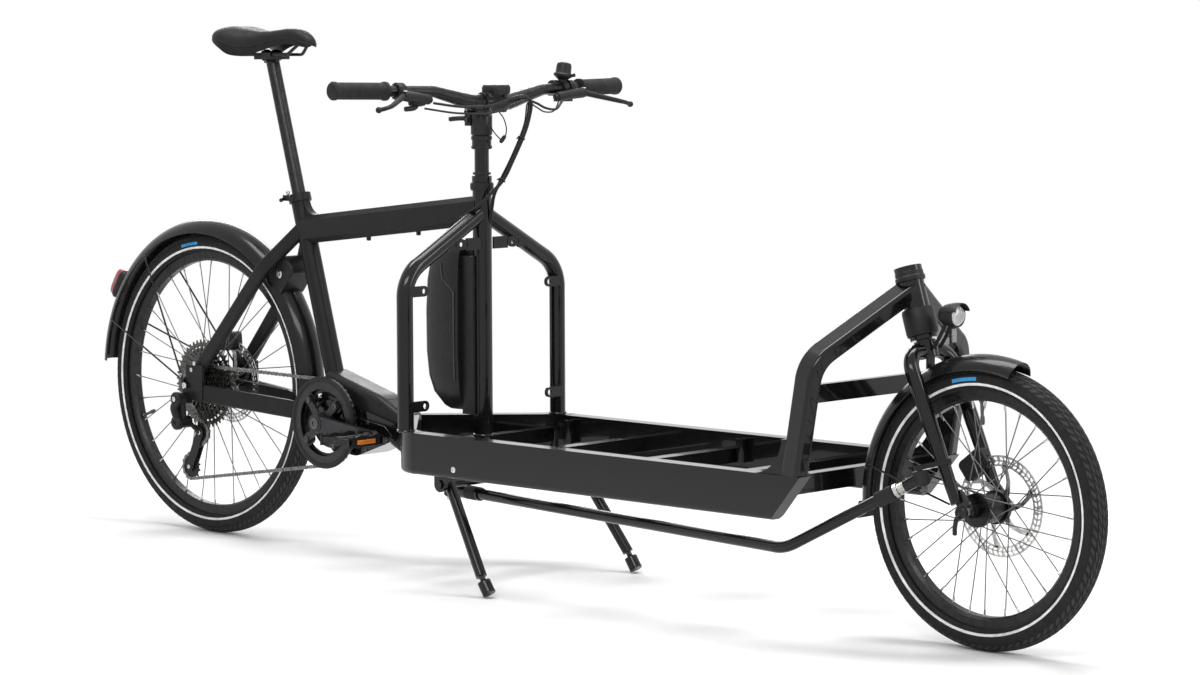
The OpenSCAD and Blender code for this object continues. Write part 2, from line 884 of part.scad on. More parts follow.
// Mudguards are arched strips, swept from one angle to another
module guard(r, from, to) {
    about_y() mirror([0, 1, 0]) rotate([0, 0, from]) rotate_extrude(angle = to - from, $fn = 96)
        difference() {
            translate([r - guard_arch, 0]) circle(guard_arch, $fn = 96);
            translate([r - guard_arch, 0]) circle(guard_arch - guard_t, $fn = 96);
            translate([r - 300, -100]) square([300 - guard_arch / 2, 200]);
            translate([r - 100, guard_w / 2]) square([200, 100]);
            translate([r - 100, -100 - guard_w / 2]) square([200, 100]);
        }
}

// All that lies inside a mudguard's outer face
module guard_bulk(r) {
    about_y() rotate_extrude($fn = 96) intersection() {
        translate([r - guard_arch, 0]) circle(guard_arch, $fn = 96);
        translate([0, -guard_arch]) square([2 * r, 2 * guard_arch]);
    }
}

// A point in a mudguard's edge at an angle, measured up from the way forward
function guard_edge(centre, r, angle, side) =
    let (y = guard_w / 2 - 2, edge_r = r - guard_arch + sqrt(pow(guard_arch - guard_t / 2, 2) - y * y))
    centre + [edge_r * cos(angle), side * y, edge_r * sin(angle)];

module rear_mudguard() color("#121212") {
    translate(rear_guard_centre) guard(rear_guard_r, 0, rear_guard_tail);
    for (s = [-1, 1]) {
        eyelet = rear_centre + [-8, s * (dropout_y + dropout_t + 3), 10];
        translate(eyelet) about_y() cylinder(r = 5, h = 6, center = true);
        for (a = [124, 158])
            round_bar(guard_edge(rear_guard_centre, rear_guard_r, a, s), eyelet, guard_stay_r);
    }
}

module rear_light() color("#7a1410") {
    difference() {
        translate(rear_guard_centre) rotate([0, -147, 0])
            translate([rear_guard_r - 6, -17, -30]) cube([28, 34, 60]);
        translate(rear_guard_centre) guard_bulk(rear_guard_r);
    }
}

module rear_caliper() color("#101010") {
    at_rear() caliper(94, rear_rotor_y, 13);
    translate([-6, rear_rotor_y + 9, rear_tyre_r + 20]) cube([12, dropout_y - rear_rotor_y - 9, 66]);
}

module derailleur() color("#121212") {
    cage_y = 7;
    cage_t = 2;
    knuckle = [-8, -dropout_y - dropout_t, rear_tyre_r - 28];
    foot = [guide_at[0] - 34, -chain_y - 22, guide_at[1] + 22];
    for (at = [[guide_at, guide_teeth], [tension_at, tension_teeth]])
        translate([at[0][0], -chain_y, at[0][1]]) about_y() {
            cylinder(r = pitch_r(at[1]) - tooth_clear, h = 2, center = true);
            cylinder(r = 4, h = 2 * cage_y, center = true);
        }
    for (s = [-1, 1])
        translate([0, -chain_y + s * (cage_y - cage_t / 2), 0]) side_view(cage_t / 2) hull() {
            translate(guide_at) circle(11, $fn = 32);
            translate(tension_at) circle(11, $fn = 32);
        }
    translate(knuckle - [0, 16, 0]) about_y() cylinder(r = 12, h = 16);
    bar(knuckle + [-4, -8, -2], foot - [0, 6, 0]) rounded(26, 12, 4);
    translate(foot - [0, 8, 0]) about_y() cylinder(r = 13, h = 22);
    round_bar(foot + [0, 12, 0], [guide_at[0], -chain_y - cage_y + 1, guide_at[1]], 5);
}

module chain() color("#8a8a88") {
    translate([0, -chain_y, 0]) rotate([90, 0, 0]) {
        for (s = [-1, 1])
            translate([0, 0, s * (chain_half_w - chain_plate_t / 2)])
                linear_extrude(chain_plate_t, center = true) chain_layer(chain_plate_h);
        linear_extrude(2 * (chain_half_w - chain_plate_t), center = true) chain_layer(chain_core_h);
    }
}

module rear_axle() color("#222222") at_rear() about_y()
    cylinder(r = rear_pin_r, h = 2 * (dropout_y + dropout_t) + 10, center = true);

// Steering column, bar and what is on it
module steerer() color("#181818") {
    arm_z = rod_rear[2] + eye_h / 2 + eye_gap;
    sleeve_z = column_top + 66;
    translate([column_x, 0, arm_z]) cylinder(r = steer_r, h = steerer_top - arm_z);
    translate([column_x, 0, column_top + 1]) cylinder(r = column_r + 1, h = 12);
    translate([column_x, 0, sleeve_z]) cylinder(r = column_r + 0.5, h = stem_z - sleeve_z);
    translate([column_x, 0, arm_z]) linear_extrude(arm_t) {
        circle(21);
        translate([-arm_w / 2, rod_rear[1]]) square([arm_w, -rod_rear[1]]);
        translate([0, rod_rear[1]]) circle(arm_w / 2);
    }
    translate(rod_rear - [0, 0, eye_h / 2 + 3]) cylinder(r = stud_r, h = eye_h + 6);
}

module stem() color("#181818") {
    difference() {
        union() {
            translate([column_x, 0, stem_z]) cylinder(r = 23, h = 48);
            translate([column_x - 4, -21, stem_z + 16]) cube([bar_reach + 4, 42, 52]);
            translate(bar_centre) about_y() cylinder(r = stem_clamp_r, h = stem_clamp_w, center = true);
        }
        translate(bar_centre) about_y() cylinder(r = bar_clamp_r, h = 200, center = true);
        translate([column_x, 0, 0]) cylinder(r = steer_r, h = steerer_top);
    }
}

module bar_line() {
    bent_bar(bar_path, 70) circle(bar_r);
}

module handlebar() color("#1a1a1a") {
    difference() {
        union() {
            both_sides() bar_line();
            translate(bar_centre) about_y() cylinder(r = bar_clamp_r, h = 104, center = true);
        }
        both_sides() bar(grip_in, bar_end + grip_way) circle(grip_r);
    }
}

module grips() color("#202020") both_sides() bar(grip_in, bar_end) circle(grip_r);

module brake_levers() color("#141414") both_sides() {
    mid = grip_in - grip_way * 30;
    difference() {
        union() {
            bar(mid - grip_way * 9, mid + grip_way * 9) circle(17);
            round_bar(mid, mid + [28, -2, -10], 7);
        }
        bar_line();
    }
    round_bar(mid + [25, -50, -16], mid + [29, 16, -9], 9);
    round_bar(mid + [29, 8, -10], bar_end + [82, -50, -36], 5);
}

module display() color("#0e0e0e") {
    difference() {
        translate(bar_centre + [-6, -24, 15]) cube([44, 48, 18]);
        translate(bar_centre) about_y() cylinder(r = stem_clamp_r, h = stem_clamp_w, center = true);
    }
}

module bell() color("#101010") {
    at = grip_in - grip_way * 62;
    difference() {
        union() {
            bar(at - grip_way * 8, at + grip_way * 8) circle(15);
            translate(at + [2, 0, 8]) cylinder(r = 7, h = 20);
        }
        bar_line();
    }
    translate(at + [2, 0, 24]) cylinder(r = 22, h = 18);
}

module tie_rod() color("#161616") {
    stub = unit(rod_bend - rod_rear);
    tip = unit(rod_front - rod_bend);
    difference() {
        union() {
            bent_bar([rod_rear + stub * 10, rod_bend, rod_front - tip * 10], 60) circle(rod_r);
            round_bar(rod_rear + stub * 30, rod_rear + stub * 96, rod_r + 3);
            translate(rod_rear - [0, 0, eye_h / 2]) cylinder(r = eye_r, h = eye_h);
            bar(rod_front - head_up * eye_h / 2, rod_front + head_up * eye_h / 2) circle(eye_r);
        }
        translate(rod_rear - [0, 0, eye_h]) cylinder(r = stud_r + running_gap, h = 2 * eye_h);
        bar(rod_front - head_up * eye_h, rod_front + head_up * eye_h) circle(stud_r + stud_gap);
    }
}

// Fork and what it carries
module fork_leg() {
    bent_bar([crown - head_up * 18, fork_knee, fork_mid], 36) circle(fork_leg_r);
    cone_bar(fork_mid - unit(fork_foot - fork_knee), fork_foot, fork_leg_r + 0.1, fork_leg_r - 3);
}

module fork_end() {
    translate([0, fork_end_y, 0]) rotate([90, 0, 0]) mirror([0, 0, 1]) linear_extrude(fork_end_t) hull() {
        translate([front_centre[0], front_centre[2]]) circle(13, $fn = 32);
        translate([fork_foot[0], fork_foot[2] + 14]) circle(11, $fn = 32);
    }
}

module crown_line() {
    bar(crown - head_up * crown_h, crown) circle(crown_r);
}

module fork() color("#161616") {
    arm_base = rod_front + head_up * (eye_h / 2 + 2);
    leg_off = arm_length - fork_leg_y;
    difference() {
        union() {
            crown_line();
            bar(crown - head_up * 4, on_head(head_high_z) - head_up * 10) circle(steer_r);
            both_sides() {
                fork_leg();
                fork_end();
            }
            aim(arm_base, head_up, [0, 1, 0]) linear_extrude(arm_t) {
                circle(eye_r);
                polygon([[-eye_r, 0], [14, leg_off], [44, leg_off], [eye_r, -4]]);
            }
            bar(rod_front - head_up * (eye_h / 2 + 4), arm_base + head_up) circle(stud_r);
        }
        at_front() about_y() cylinder(r = front_pin_r, h = 300, center = true);
    }
}

module front_mudguard() color("#121212") {
    hanger = crown - head_up * 18 - [0, 0, fork_leg_r + seat_gap];
    at_front() guard(front_guard_r, 72, 183);
    for (s = [-1, 1]) {
        edge = guard_edge(front_centre, front_guard_r, 166, s);
        foot = front_centre + [-14, s * (fork_end_y + fork_end_t + guard_stay_r), 16];
        round_bar(edge, foot - unit(foot - edge) * (2 * fork_leg_r - 3.6), guard_stay_r);
    }
    difference() {
        translate(hanger - [2, 10, 30]) cube([4, 20, 30]);
        crown_line();
        at_front() guard_bulk(front_guard_r - 1);
    }
}

module headlight() color("#d8d8d8") {
    translate(headlight_at) rotate([0, 90, 0]) cylinder(r = headlight_r, h = 36);
    difference() {
        bar(crown - head_up * 12 + [10, 0, 0], headlight_at + [10, 0, -12]) square([4, 16], center = true);
        crown_line();
    }
}

module front_caliper() color("#101010") {
    difference() {
        at_front() caliper(128, front_rotor_y, 10);
        fork_leg();
        fork_end();
    }
}

module front_axle() color("#8a8a88") {
    end_y = fork_end_y + fork_end_t;
    at_front() about_y() {
        cylinder(r = front_pin_r, h = 2 * end_y + 8, center = true);
        for (s = [-1, 1]) translate([0, 0, s * (end_y + 5)]) cylinder(r = 9, h = 10, center = true);
    }
}

// Hub with two flanges and a sleeve on each side, on a pin
module hub(shell_r, flange_r, flange_y, reach, bore) {
    about_y() difference() {
        union() {
            cylinder(r = freehub_r, h = 2 * reach, center = true);
            cylinder(r = shell_r, h = 2 * flange_y, center = true);
            for (s = [-1, 1]) translate([0, 0, s * flange_y]) cylinder(r = flange_r, h = 10, center = true);
        }
        cylinder(r = bore, h = 400, center = true);
    }
}

// Front wheel
module front_tyre() color("#1e1e1e") at_front() tyre(front_tyre_r, front_bead_r);
module front_rim() color("#1a1a1a") at_front() rim(front_bead_r);
module front_spokes() color("#9a9a9a") at_front() spokes(front_bead_r, front_flange_r, front_flange_y);
module front_hub() color("#121212") at_front()
    hub(26, front_flange_r, front_flange_y, fork_end_y - 1, front_pin_r + running_gap);
module front_rotor() color("#b0b0b0") at_front() translate([0, front_rotor_y, 0]) rotor(freehub_r);

// Rear wheel
module rear_tyre() color("#1e1e1e") at_rear() tyre(rear_tyre_r, rear_bead_r);
module rear_rim() color("#1a1a1a") at_rear() rim(rear_bead_r);
module rear_spokes() color("#9a9a9a") at_rear() spokes(rear_bead_r, rear_flange_r, rear_flange_y);
module rear_hub() color("#121212") at_rear()
    hub(21, rear_flange_r, rear_flange_y, dropout_y - 1, rear_pin_r + running_gap);
module cassette() color("#55554f") at_rear() difference() {
    last = len(sprocket_teeth) - 1;
    for (k = [0 : last])
        translate([0, -chain_y + (drive_place - k) * sprocket_pitch, 0]) about_y() {
            sprocket(sprocket_teeth[k], sprocket_t);
            if (k < last) translate([0, 0, -sprocket_pitch]) cylinder(r = 17, h = sprocket_pitch);
        }
    about_y() cylinder(r = freehub_r, h = 300, center = true);
}
module rear_rotor() color("#b0b0b0") at_rear() translate([0, rear_rotor_y, 0]) rotor(freehub_r);

// Crank set: the chainring carries its guard ring on bolts, and a spider on the crank carries both
module round_bolts() {
    for (k = [0 : 3]) rotate([0, 45 + crank_drop + 90 * k, 0]) children();
}

module ring_bolts(r, h) {
    round_bolts() translate([ring_bolt_r, 0, 0]) about_y() cylinder(r = r, h = h, center = true);
}

module chainring() color("#101010") at_bracket(-chain_y) {
    about_y() difference() {
        sprocket(ring_teeth, 2);
        cylinder(r = ring_bolt_r + 6, h = 10, center = true, $fn = 96);
    }
    ring_bolts(10, 2);
    translate([0, -guard_ring_y - guard_ring_t / 2, 0]) {
        about_y() difference() {
            cylinder(r = ring_guard_r, h = guard_ring_t, center = true, $fn = 96);
            cylinder(r = ring_bolt_r + 12, h = 10, center = true, $fn = 96);
        }
        ring_bolts(14, guard_ring_t);
    }
    translate([0, -guard_ring_y / 2, 0]) ring_bolts(6, guard_ring_y + 2);
}

module crank_arms() color("#161616") at_bracket(0) {
    spider_y = -chain_y - guard_ring_y - guard_ring_t;
    about_y() cylinder(r = axle_r, h = 2 * (crank_in_y + crank_t) - 4, center = true);
    translate([0, spider_y, 0]) rotate([90, 0, 0]) linear_extrude(spider_t)
        for (k = [0 : 3]) rotate(-45 - crank_drop - 90 * k) translate([0, -8]) square([ring_bolt_r + 8, 16]);
    translate([0, -crank_in_y - 3, 0]) about_y() cylinder(r = 22, h = crank_in_y + spider_y + 2);
    for (s = [0, 1]) rotate([0, crank_drop + 180 * s, 0])
        translate([0, s == 0 ? -crank_in_y - crank_t : crank_in_y, 0]) {
            about_y() cylinder(r = 19, h = crank_t);
            translate([0, crank_t - 1, 0]) rotate([90, 0, 0]) linear_extrude(crank_t - 2)
                polygon([[0, -17], [0, 17], [crank_length, 11], [crank_length, -11]]);
            translate([crank_length, 0, 0]) about_y() cylinder(r = 13, h = crank_t);
            translate([crank_length, s == 0 ? 4 : crank_t - 4, 0]) rotate([s == 0 ? 90 : -90, 0, 0])
                cylinder(r = spindle_r, h = pedal_size[1] + 7);
        }
}

function pedal_at(s) = bracket + [cos(crank_drop), 0, -sin(crank_drop)] * s * crank_length;

module pedal(s) translate(pedal_at(s)) difference() {
    translate([-pedal_size[0] / 2, s > 0 ? -pedal_y - pedal_size[1] : pedal_y, -pedal_size[2] / 2])
        cube(pedal_size);
    about_y() cylinder(r = spindle_r + running_gap, h = 600, center = true);
}

module pedal_right() color("#141414") pedal(1);
module pedal_left() color("#141414") pedal(-1);

// Stand, down with its feet on the floor
module stand() color("#151515") translate(stand_pivot) rotate([0, -stand_lean, 0]) {
    leg_foot = -stand_length + stand_foot_h + 12;
    about_y() cylinder(r = stand_tube_r, h = 2 * (stand_bracket_y + stand_bracket_t + 4), center = true);
    both_sides() {
        round_bar([0, stand_root_y, 0], [0, stand_foot_y, leg_foot], stand_leg_r);
        translate([0, stand_foot_y, -stand_length + stand_foot_h - 1]) cylinder(r = 5, h = 16);
        translate([0, stand_foot_y, -stand_length]) cylinder(r = stand_foot_r, h = stand_foot_h);
    }
}

module placed() translate([rear_axle_x, 0, 0]) children();

placed() column();
placed() top_tube();
placed() seat_tube();
placed() seat_stays();
placed() chain_stays();
placed() boom();
placed() motor();
placed() battery();
placed() battery_cradle();
placed() hoop_left();
placed() hoop_right();
placed() rail_left();
placed() rail_right();
placed() cross_members();
placed() upright_left();
placed() upright_right();
placed() front_bar();
placed() front_head();
placed() seat_post();
placed() saddle();
placed() rear_mudguard();
placed() rear_light();
placed() rear_caliper();
placed() derailleur();
placed() chain();
placed() rear_axle();
placed() steerer();
placed() stem();
placed() handlebar();
placed() grips();
placed() brake_levers();
placed() display();
placed() bell();
placed() tie_rod();
placed() fork();
placed() front_mudguard();
placed() headlight();
placed() front_caliper();
placed() front_axle();
placed() front_tyre();
placed() front_rim();
placed() front_spokes();
placed() front_hub();
placed() front_rotor();
placed() rear_tyre();
placed() rear_rim();
placed() rear_spokes();
placed() rear_hub();
placed() cassette();
placed() rear_rotor();
placed() chainring();
placed() crank_arms();
placed() pedal_left();
placed() pedal_right();
placed() stand();
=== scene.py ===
import json
from math import acos, asin, atan, atan2, copysign, cos, exp, hypot, pi, radians, sin

import bmesh
import bpy
from mathutils import Matrix, Vector


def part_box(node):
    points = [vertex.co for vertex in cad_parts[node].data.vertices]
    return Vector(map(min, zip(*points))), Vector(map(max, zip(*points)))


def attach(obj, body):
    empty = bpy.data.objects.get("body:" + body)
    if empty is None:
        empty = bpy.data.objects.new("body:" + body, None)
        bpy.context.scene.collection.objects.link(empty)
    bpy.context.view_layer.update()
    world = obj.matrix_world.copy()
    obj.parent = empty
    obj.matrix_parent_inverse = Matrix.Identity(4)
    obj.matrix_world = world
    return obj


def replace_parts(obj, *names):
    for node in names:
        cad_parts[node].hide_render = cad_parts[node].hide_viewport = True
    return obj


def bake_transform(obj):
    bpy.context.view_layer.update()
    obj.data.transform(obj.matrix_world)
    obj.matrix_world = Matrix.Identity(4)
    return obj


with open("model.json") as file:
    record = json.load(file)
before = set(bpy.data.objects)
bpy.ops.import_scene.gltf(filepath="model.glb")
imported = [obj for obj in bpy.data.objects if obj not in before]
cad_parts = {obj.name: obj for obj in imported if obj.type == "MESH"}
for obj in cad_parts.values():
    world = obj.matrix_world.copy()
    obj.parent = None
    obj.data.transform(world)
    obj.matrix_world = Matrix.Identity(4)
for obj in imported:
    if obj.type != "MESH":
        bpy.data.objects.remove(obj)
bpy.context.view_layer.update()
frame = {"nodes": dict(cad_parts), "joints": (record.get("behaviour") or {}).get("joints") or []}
nodes = frame["nodes"]
joints = {j["name"]: j for j in frame["joints"]}


def vec(x, y, z):
    return Vector((x, y, z))


# Sizes are in millimetres from the rear axle's foot on the floor, as the bicycle was measured
REAR_AXLE_X = joints["rear_roll"]["pos_m"][0]
ORIGIN, X, Y, Z = vec(0, 0, 0), vec(1, 0, 0), vec(0, 1, 0), vec(0, 0, 1)
REAR_R, FRONT_R, TYRE_W = 325.0, 249.0, 47.0
REAR_BEAD, FRONT_BEAD, RIM_DEPTH = 279.5, 203.0, 14.0
WHEELBASE = 2090.0
REAR_AXLE = vec(0, 0, REAR_R)
FRONT_AXLE = vec(WHEELBASE, 0, FRONT_R)
BRACKET = vec(418, 0, 275)
CHAIN_Y, CHAIN_PITCH = -50.0, 12.7
HEAD_TILT = radians(17)
HEAD_UP = vec(-sin(HEAD_TILT), 0, cos(HEAD_TILT))
COLUMN_X = 835.0
BAR_MID = vec(861, 0, 941)
STEM_CLAMP = vec(817, 0, 914)
CRANK_LENGTH, CRANK_TURN = 170, radians(5)
ROD_ARM = 95
REAR_GUARD = vec(-12, 0, REAR_R)
REAR_LIGHT_TURN = 147
LEG_LENGTH, FOOT_R = 240, 13


def place(p):
    """A measured point in the part's own frame, in metres."""
    return vec(p[0] / 1000 + REAR_AXLE_X, p[1] / 1000, p[2] / 1000)


def measured(box):
    """The two corners of a box of the frame, as measured points."""
    return [vec(c[0] - REAR_AXLE_X, c[1], c[2]) * 1000 for c in box]


def on_head(z):
    foot = FRONT_AXLE - X * 50 / cos(HEAD_TILT)
    return foot + HEAD_UP * (z - FRONT_R) / HEAD_UP.z


def polar(centre, r, degrees, y=0.0):
    """A point round an axle, with the angle measured up from the way forward."""
    a = radians(degrees)
    return vec(centre.x + r * cos(a), y, centre.z + r * sin(a))


def across(d):
    """Two directions square to d and to each other."""
    u = d.cross(Y if abs(d.y) < 0.9 else X).normalized()
    return u, d.cross(u).normalized()


def turns(n):
    """Angles that share a full turn evenly."""
    return [2 * pi * k / n for k in range(n)]


def span(low, high, steps):
    """Values in even steps from one end to the other, with both ends."""
    return [low + (high - low) * k / steps for k in range(steps + 1)]


def squared(value, power):
    """A sine or cosine pulled outward, for rounded corners in place of an ellipse."""
    return copysign(abs(value) ** power, value)


def from_point(base, *offsets):
    return [base + Vector(offset) for offset in offsets]


# Helpers for the materials. Most values of a noise lie between the first two numbers
NOISE_LOW, NOISE_HIGH = 0.3, 0.7
METAL_GRAIN = 90


def fill(node, **values):
    """Sets a node's inputs, which are named with low lines for spaces."""
    for name, value in values.items():
        node.inputs[name.replace("_", " ")].default_value = value
    return node


class Finish:
    """A procedural material with a principled shader and a few texture helpers."""

    def __init__(self, name, color, roughness, metallic=0.0, **sockets):
        self.material = bpy.data.materials.new(name)
        self.material.use_nodes = True
        self.tree = self.material.node_tree
        self.color = color
        self.shader = fill(self.tree.nodes["Principled BSDF"], Base_Color=(*color, 1), Roughness=roughness,
                           Metallic=metallic, **sockets)
        self.place = self.node("ShaderNodeTexCoord").outputs["Object"]

    def node(self, kind, **settings):
        made = self.tree.nodes.new(kind)
        for key, value in settings.items():
            setattr(made, key, value)
        return made

    def link(self, a, b):
        self.tree.links.new(a, b)

    def noise(self, scale, detail=4.0, stretch=None):
        texture = fill(self.node("ShaderNodeTexNoise"), Scale=scale, Detail=detail)
        source = self.place
        if stretch:
            mapping = fill(self.node("ShaderNodeMapping"), Scale=stretch)
            self.link(source, mapping.inputs["Vector"])
            source = mapping.outputs["Vector"]
        self.link(source, texture.inputs["Vector"])
        return texture.outputs["Fac"]

    def spread(self, fac, low, high):
        spread = fill(self.node("ShaderNodeMapRange"), From_Min=NOISE_LOW, From_Max=NOISE_HIGH,
                      To_Min=low, To_Max=high)
        self.link(fac, spread.inputs["Value"])
        return spread.outputs["Result"]

    def vary_roughness(self, scale, low, high, stretch=None):
        self.link(self.spread(self.noise(scale, stretch=stretch), low, high), self.shader.inputs["Roughness"])
        return self

    def vary_color(self, scale, darker, lighter, stretch=None):
        ramp = self.node("ShaderNodeValToRGB")
        shades = ((NOISE_LOW, darker), (NOISE_HIGH, lighter))
        for stop, (position, shade) in zip(ramp.color_ramp.elements, shades):
            stop.position = position
            stop.color = (*[min(1, c * shade) for c in self.color], 1)
        self.link(self.noise(scale, stretch=stretch), ramp.inputs["Fac"])
        self.link(ramp.outputs["Color"], self.shader.inputs["Base Color"])
        return self

    def bump(self, height, strength, distance):
        bump = fill(self.node("ShaderNodeBump"), Strength=strength, Distance=distance)
        self.link(height, bump.inputs["Height"])
        self.link(bump.outputs["Normal"], self.shader.inputs["Normal"])
        return self

    def cells(self, scale):
        texture = fill(self.node("ShaderNodeTexVoronoi"), Scale=scale)
        self.link(self.place, texture.inputs["Vector"])
        return texture.outputs["Distance"]


def paint(name, color, roughness, coat):
    finish = Finish(name, color, roughness, Specular_IOR_Level=0.14, Coat_Weight=coat, Coat_Roughness=0.04)
    finish.vary_color(40, 0.85, 1.2).vary_roughness(25, roughness * 0.92, roughness * 1.1)
    return finish.material


def plastic(name, color, roughness, grain=1500):
    finish = Finish(name, color, roughness, Specular_IOR_Level=0.22)
    finish.vary_color(60, 0.8, 1.25).vary_roughness(80, roughness * 0.85, min(1, roughness * 1.15))
    return finish.bump(finish.noise(grain, 3), 0.1, 0.0005).material


def metal(name, color, roughness, stretch=None):
    finish = Finish(name, color, roughness, 1.0)
    finish.vary_color(METAL_GRAIN, 0.8, 1.1, stretch)
    finish.vary_roughness(METAL_GRAIN * 2, roughness * 0.7, roughness * 1.3, stretch)
    return finish.bump(finish.noise(METAL_GRAIN * 8, 3, stretch), 0.08, 0.0003).material


def lens(name, color, roughness, transmission):
    finish = Finish(name, color, roughness, Transmission_Weight=transmission, IOR=1.49, Coat_Weight=0.5)
    finish.vary_color(30, 0.9, 1.1)
    return finish.bump(finish.cells(420), 0.3, 0.0012).material


GLOSS = paint("gloss_black_paint", (0.004, 0.004, 0.0043), 0.2, 0.4)
SATIN = paint("satin_black_paint", (0.011, 0.011, 0.0115), 0.4, 0.06)
PLASTIC = plastic("moulded_plastic", (0.012, 0.012, 0.0125), 0.46)
SHELL = plastic("battery_shell", (0.013, 0.013, 0.014), 0.3, 900)
GUARD = paint("mudguard_gloss", (0.007, 0.007, 0.0073), 0.27, 0.25)
RUBBER = plastic("rubber", (0.018, 0.018, 0.0185), 0.68, 1100)
TYRE = plastic("tyre_rubber", (0.013, 0.013, 0.0133), 0.76, 1300)
TREAD = plastic("tread_rubber", (0.036, 0.036, 0.037), 0.7, 1300)
CABLE = plastic("cable_sheath", (0.012, 0.012, 0.012), 0.42, 2000)
ALLOY = metal("black_anodised_alloy", (0.035, 0.035, 0.037), 0.36)
CRANK = metal("grey_anodised_alloy", (0.05, 0.05, 0.053), 0.4)
STEEL = metal("brushed_steel", (0.55, 0.55, 0.54), 0.3, (1, 1, 6))
SPOKE = metal("spoke_steel", (0.15, 0.15, 0.15), 0.34)
DARK_STEEL = metal("sprocket_steel", (0.11, 0.107, 0.102), 0.42)
CHAIN_STEEL = metal("chain_steel", (0.2, 0.197, 0.19), 0.38)
SILVER = metal("bright_bolt", (0.62, 0.62, 0.6), 0.24)
WHITE = plastic("reflective_stripe", (0.78, 0.78, 0.77), 0.5, 2500)
BLUE = plastic("blue_patch", (0.05, 0.3, 0.62), 0.6, 1300)
ORANGE = lens("orange_reflector", (0.75, 0.2, 0.02), 0.2, 0.1)
RED = lens("red_lens", (0.3, 0.012, 0.01), 0.2, 0.1)
CLEAR = lens("clear_lens", (0.92, 0.93, 0.94), 0.06, 0.7)
MIRROR = metal("lamp_mirror", (0.85, 0.85, 0.85), 0.12)


def leather():
    finish = Finish("saddle_cover", (0.012, 0.012, 0.0125), 0.55, Specular_IOR_Level=0.15)
    finish.vary_color(50, 0.8, 1.3).vary_roughness(90, 0.42, 0.6)
    return finish.bump(finish.cells(900), 0.14, 0.0006).material


LEATHER = leather()


# Outlines and rings that the shapes are made of
def circle(r, n):
    return [(r * cos(a), r * sin(a)) for a in turns(n)]


def oblong(half_u, half_v):
    return [(-half_u, -half_v), (half_u, -half_v), (half_u, half_v), (-half_u, half_v)]


def rounded(half_u, half_v, power, n):
    """An oblong with rounded corners."""
    return [(half_u * squared(cos(a), power), half_v * squared(sin(a), power)) for a in turns(n)]


def skin(arc, r, thick):
    """A thin arc, out along its outer side and back along its inner one."""
    return ([(r * cos(a), r * sin(a)) for a in arc]
            + [((r - thick) * cos(a), (r - thick) * sin(a)) for a in reversed(arc)])


def hoop(at, u, v, r, n):
    return [at + u * x + v * y for x, y in circle(r, n)]


def laid(outline, at, u, v, lift):
    """An outline laid along u and v, and lifted square to them."""
    rise = u.cross(v).normalized() * lift
    return [Vector(at) + u * x + v * y + rise for x, y in outline]


def add_object(name, data):
    made = bpy.data.objects.new(name, data)
    bpy.context.scene.collection.objects.link(made)
    return made


# Shapes are gathered in one mesh and then made into a piece
SMOOTH_BELOW, BEVEL_ABOVE = radians(38), radians(40)


class Shape:
    def __init__(self):
        self.points = []
        self.faces = []

    def loft(self, rings, loop=False):
        """Joins rings of points, closed by caps or by a loop from the last ring to the first."""
        start, n = len(self.points), len(rings[0])
        for ring in rings:
            self.points.extend(ring)
        last = len(rings) if loop else len(rings) - 1
        for i in range(last):
            a, b = start + i * n, start + (i + 1) % len(rings) * n
            self.faces += [(a + j, a + (j + 1) % n, b + (j + 1) % n, b + j) for j in range(n)]
        if not loop:
            end = start + (len(rings) - 1) * n
            self.faces.append(tuple(range(start + n - 1, start - 1, -1)))
            self.faces.append(tuple(range(end, end + n)))
        return self

    def lathe(self, at, axis, profile, sides):
        """Turns [radius, height] steps about an axis."""
        axis = Vector(axis).normalized()
        u, v = across(axis)
        return self.loft([hoop(Vector(at) + axis * h, u, v, max(r, 0.01), sides) for r, h in profile])

    def sweep(self, path, r, sides):
        """A round bar along a path, of one radius or one for each point."""
        path = [Vector(p) for p in path]
        radii = r if isinstance(r, list) else [r] * len(path)
        rings = []
        u = across((path[1] - path[0]).normalized())[0]
        for i, p in enumerate(path):
            d = (path[min(i + 1, len(path) - 1)] - path[max(i - 1, 0)]).normalized()
            u = (u - d * u.dot(d)).normalized()
            rings.append(hoop(p, u, d.cross(u), radii[i], sides))
        return self.loft(rings)

    def prism(self, outline, at, u, v, thick):
        """A flat outline along u and v, given thickness on both sides of its place."""
        return self.loft([laid(outline, at, u, v, side * thick / 2) for side in (-1, 1)])

    def band(self, outer, inner, at, u, v, thick):
        """A flat ring between two outlines of as many points."""
        half = thick / 2
        return self.loft([laid(line, at, u, v, lift) for line, lift in (
            (outer, -half), (outer, half), (inner, half), (inner, -half))], loop=True)

    def piece(self, name, material, body, slot, bevel=0.0, subdivide=0):
        mesh = bpy.data.meshes.new(name)
        mesh.from_pydata([place(p) for p in self.points], [], self.faces)
        work = bmesh.new()
        work.from_mesh(mesh)
        bmesh.ops.recalc_face_normals(work, faces=work.faces)
        for edge in work.edges:
            edge.smooth = edge.calc_face_angle(0) < SMOOTH_BELOW
        for face in work.faces:
            face.smooth = True
        work.to_mesh(mesh)
        work.free()
        made = add_object(name, mesh)
        mesh.materials.append(material)
        if bevel:
            modifier = made.modifiers.new("edge", "BEVEL")
            modifier.width = bevel / 1000
            modifier.segments = 2
            modifier.angle_limit = BEVEL_ABOVE
        if subdivide:
            modifier = made.modifiers.new("smooth", "SUBSURF")
            modifier.levels = modifier.render_levels = subdivide
        if body:
            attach(made, body)
        return made


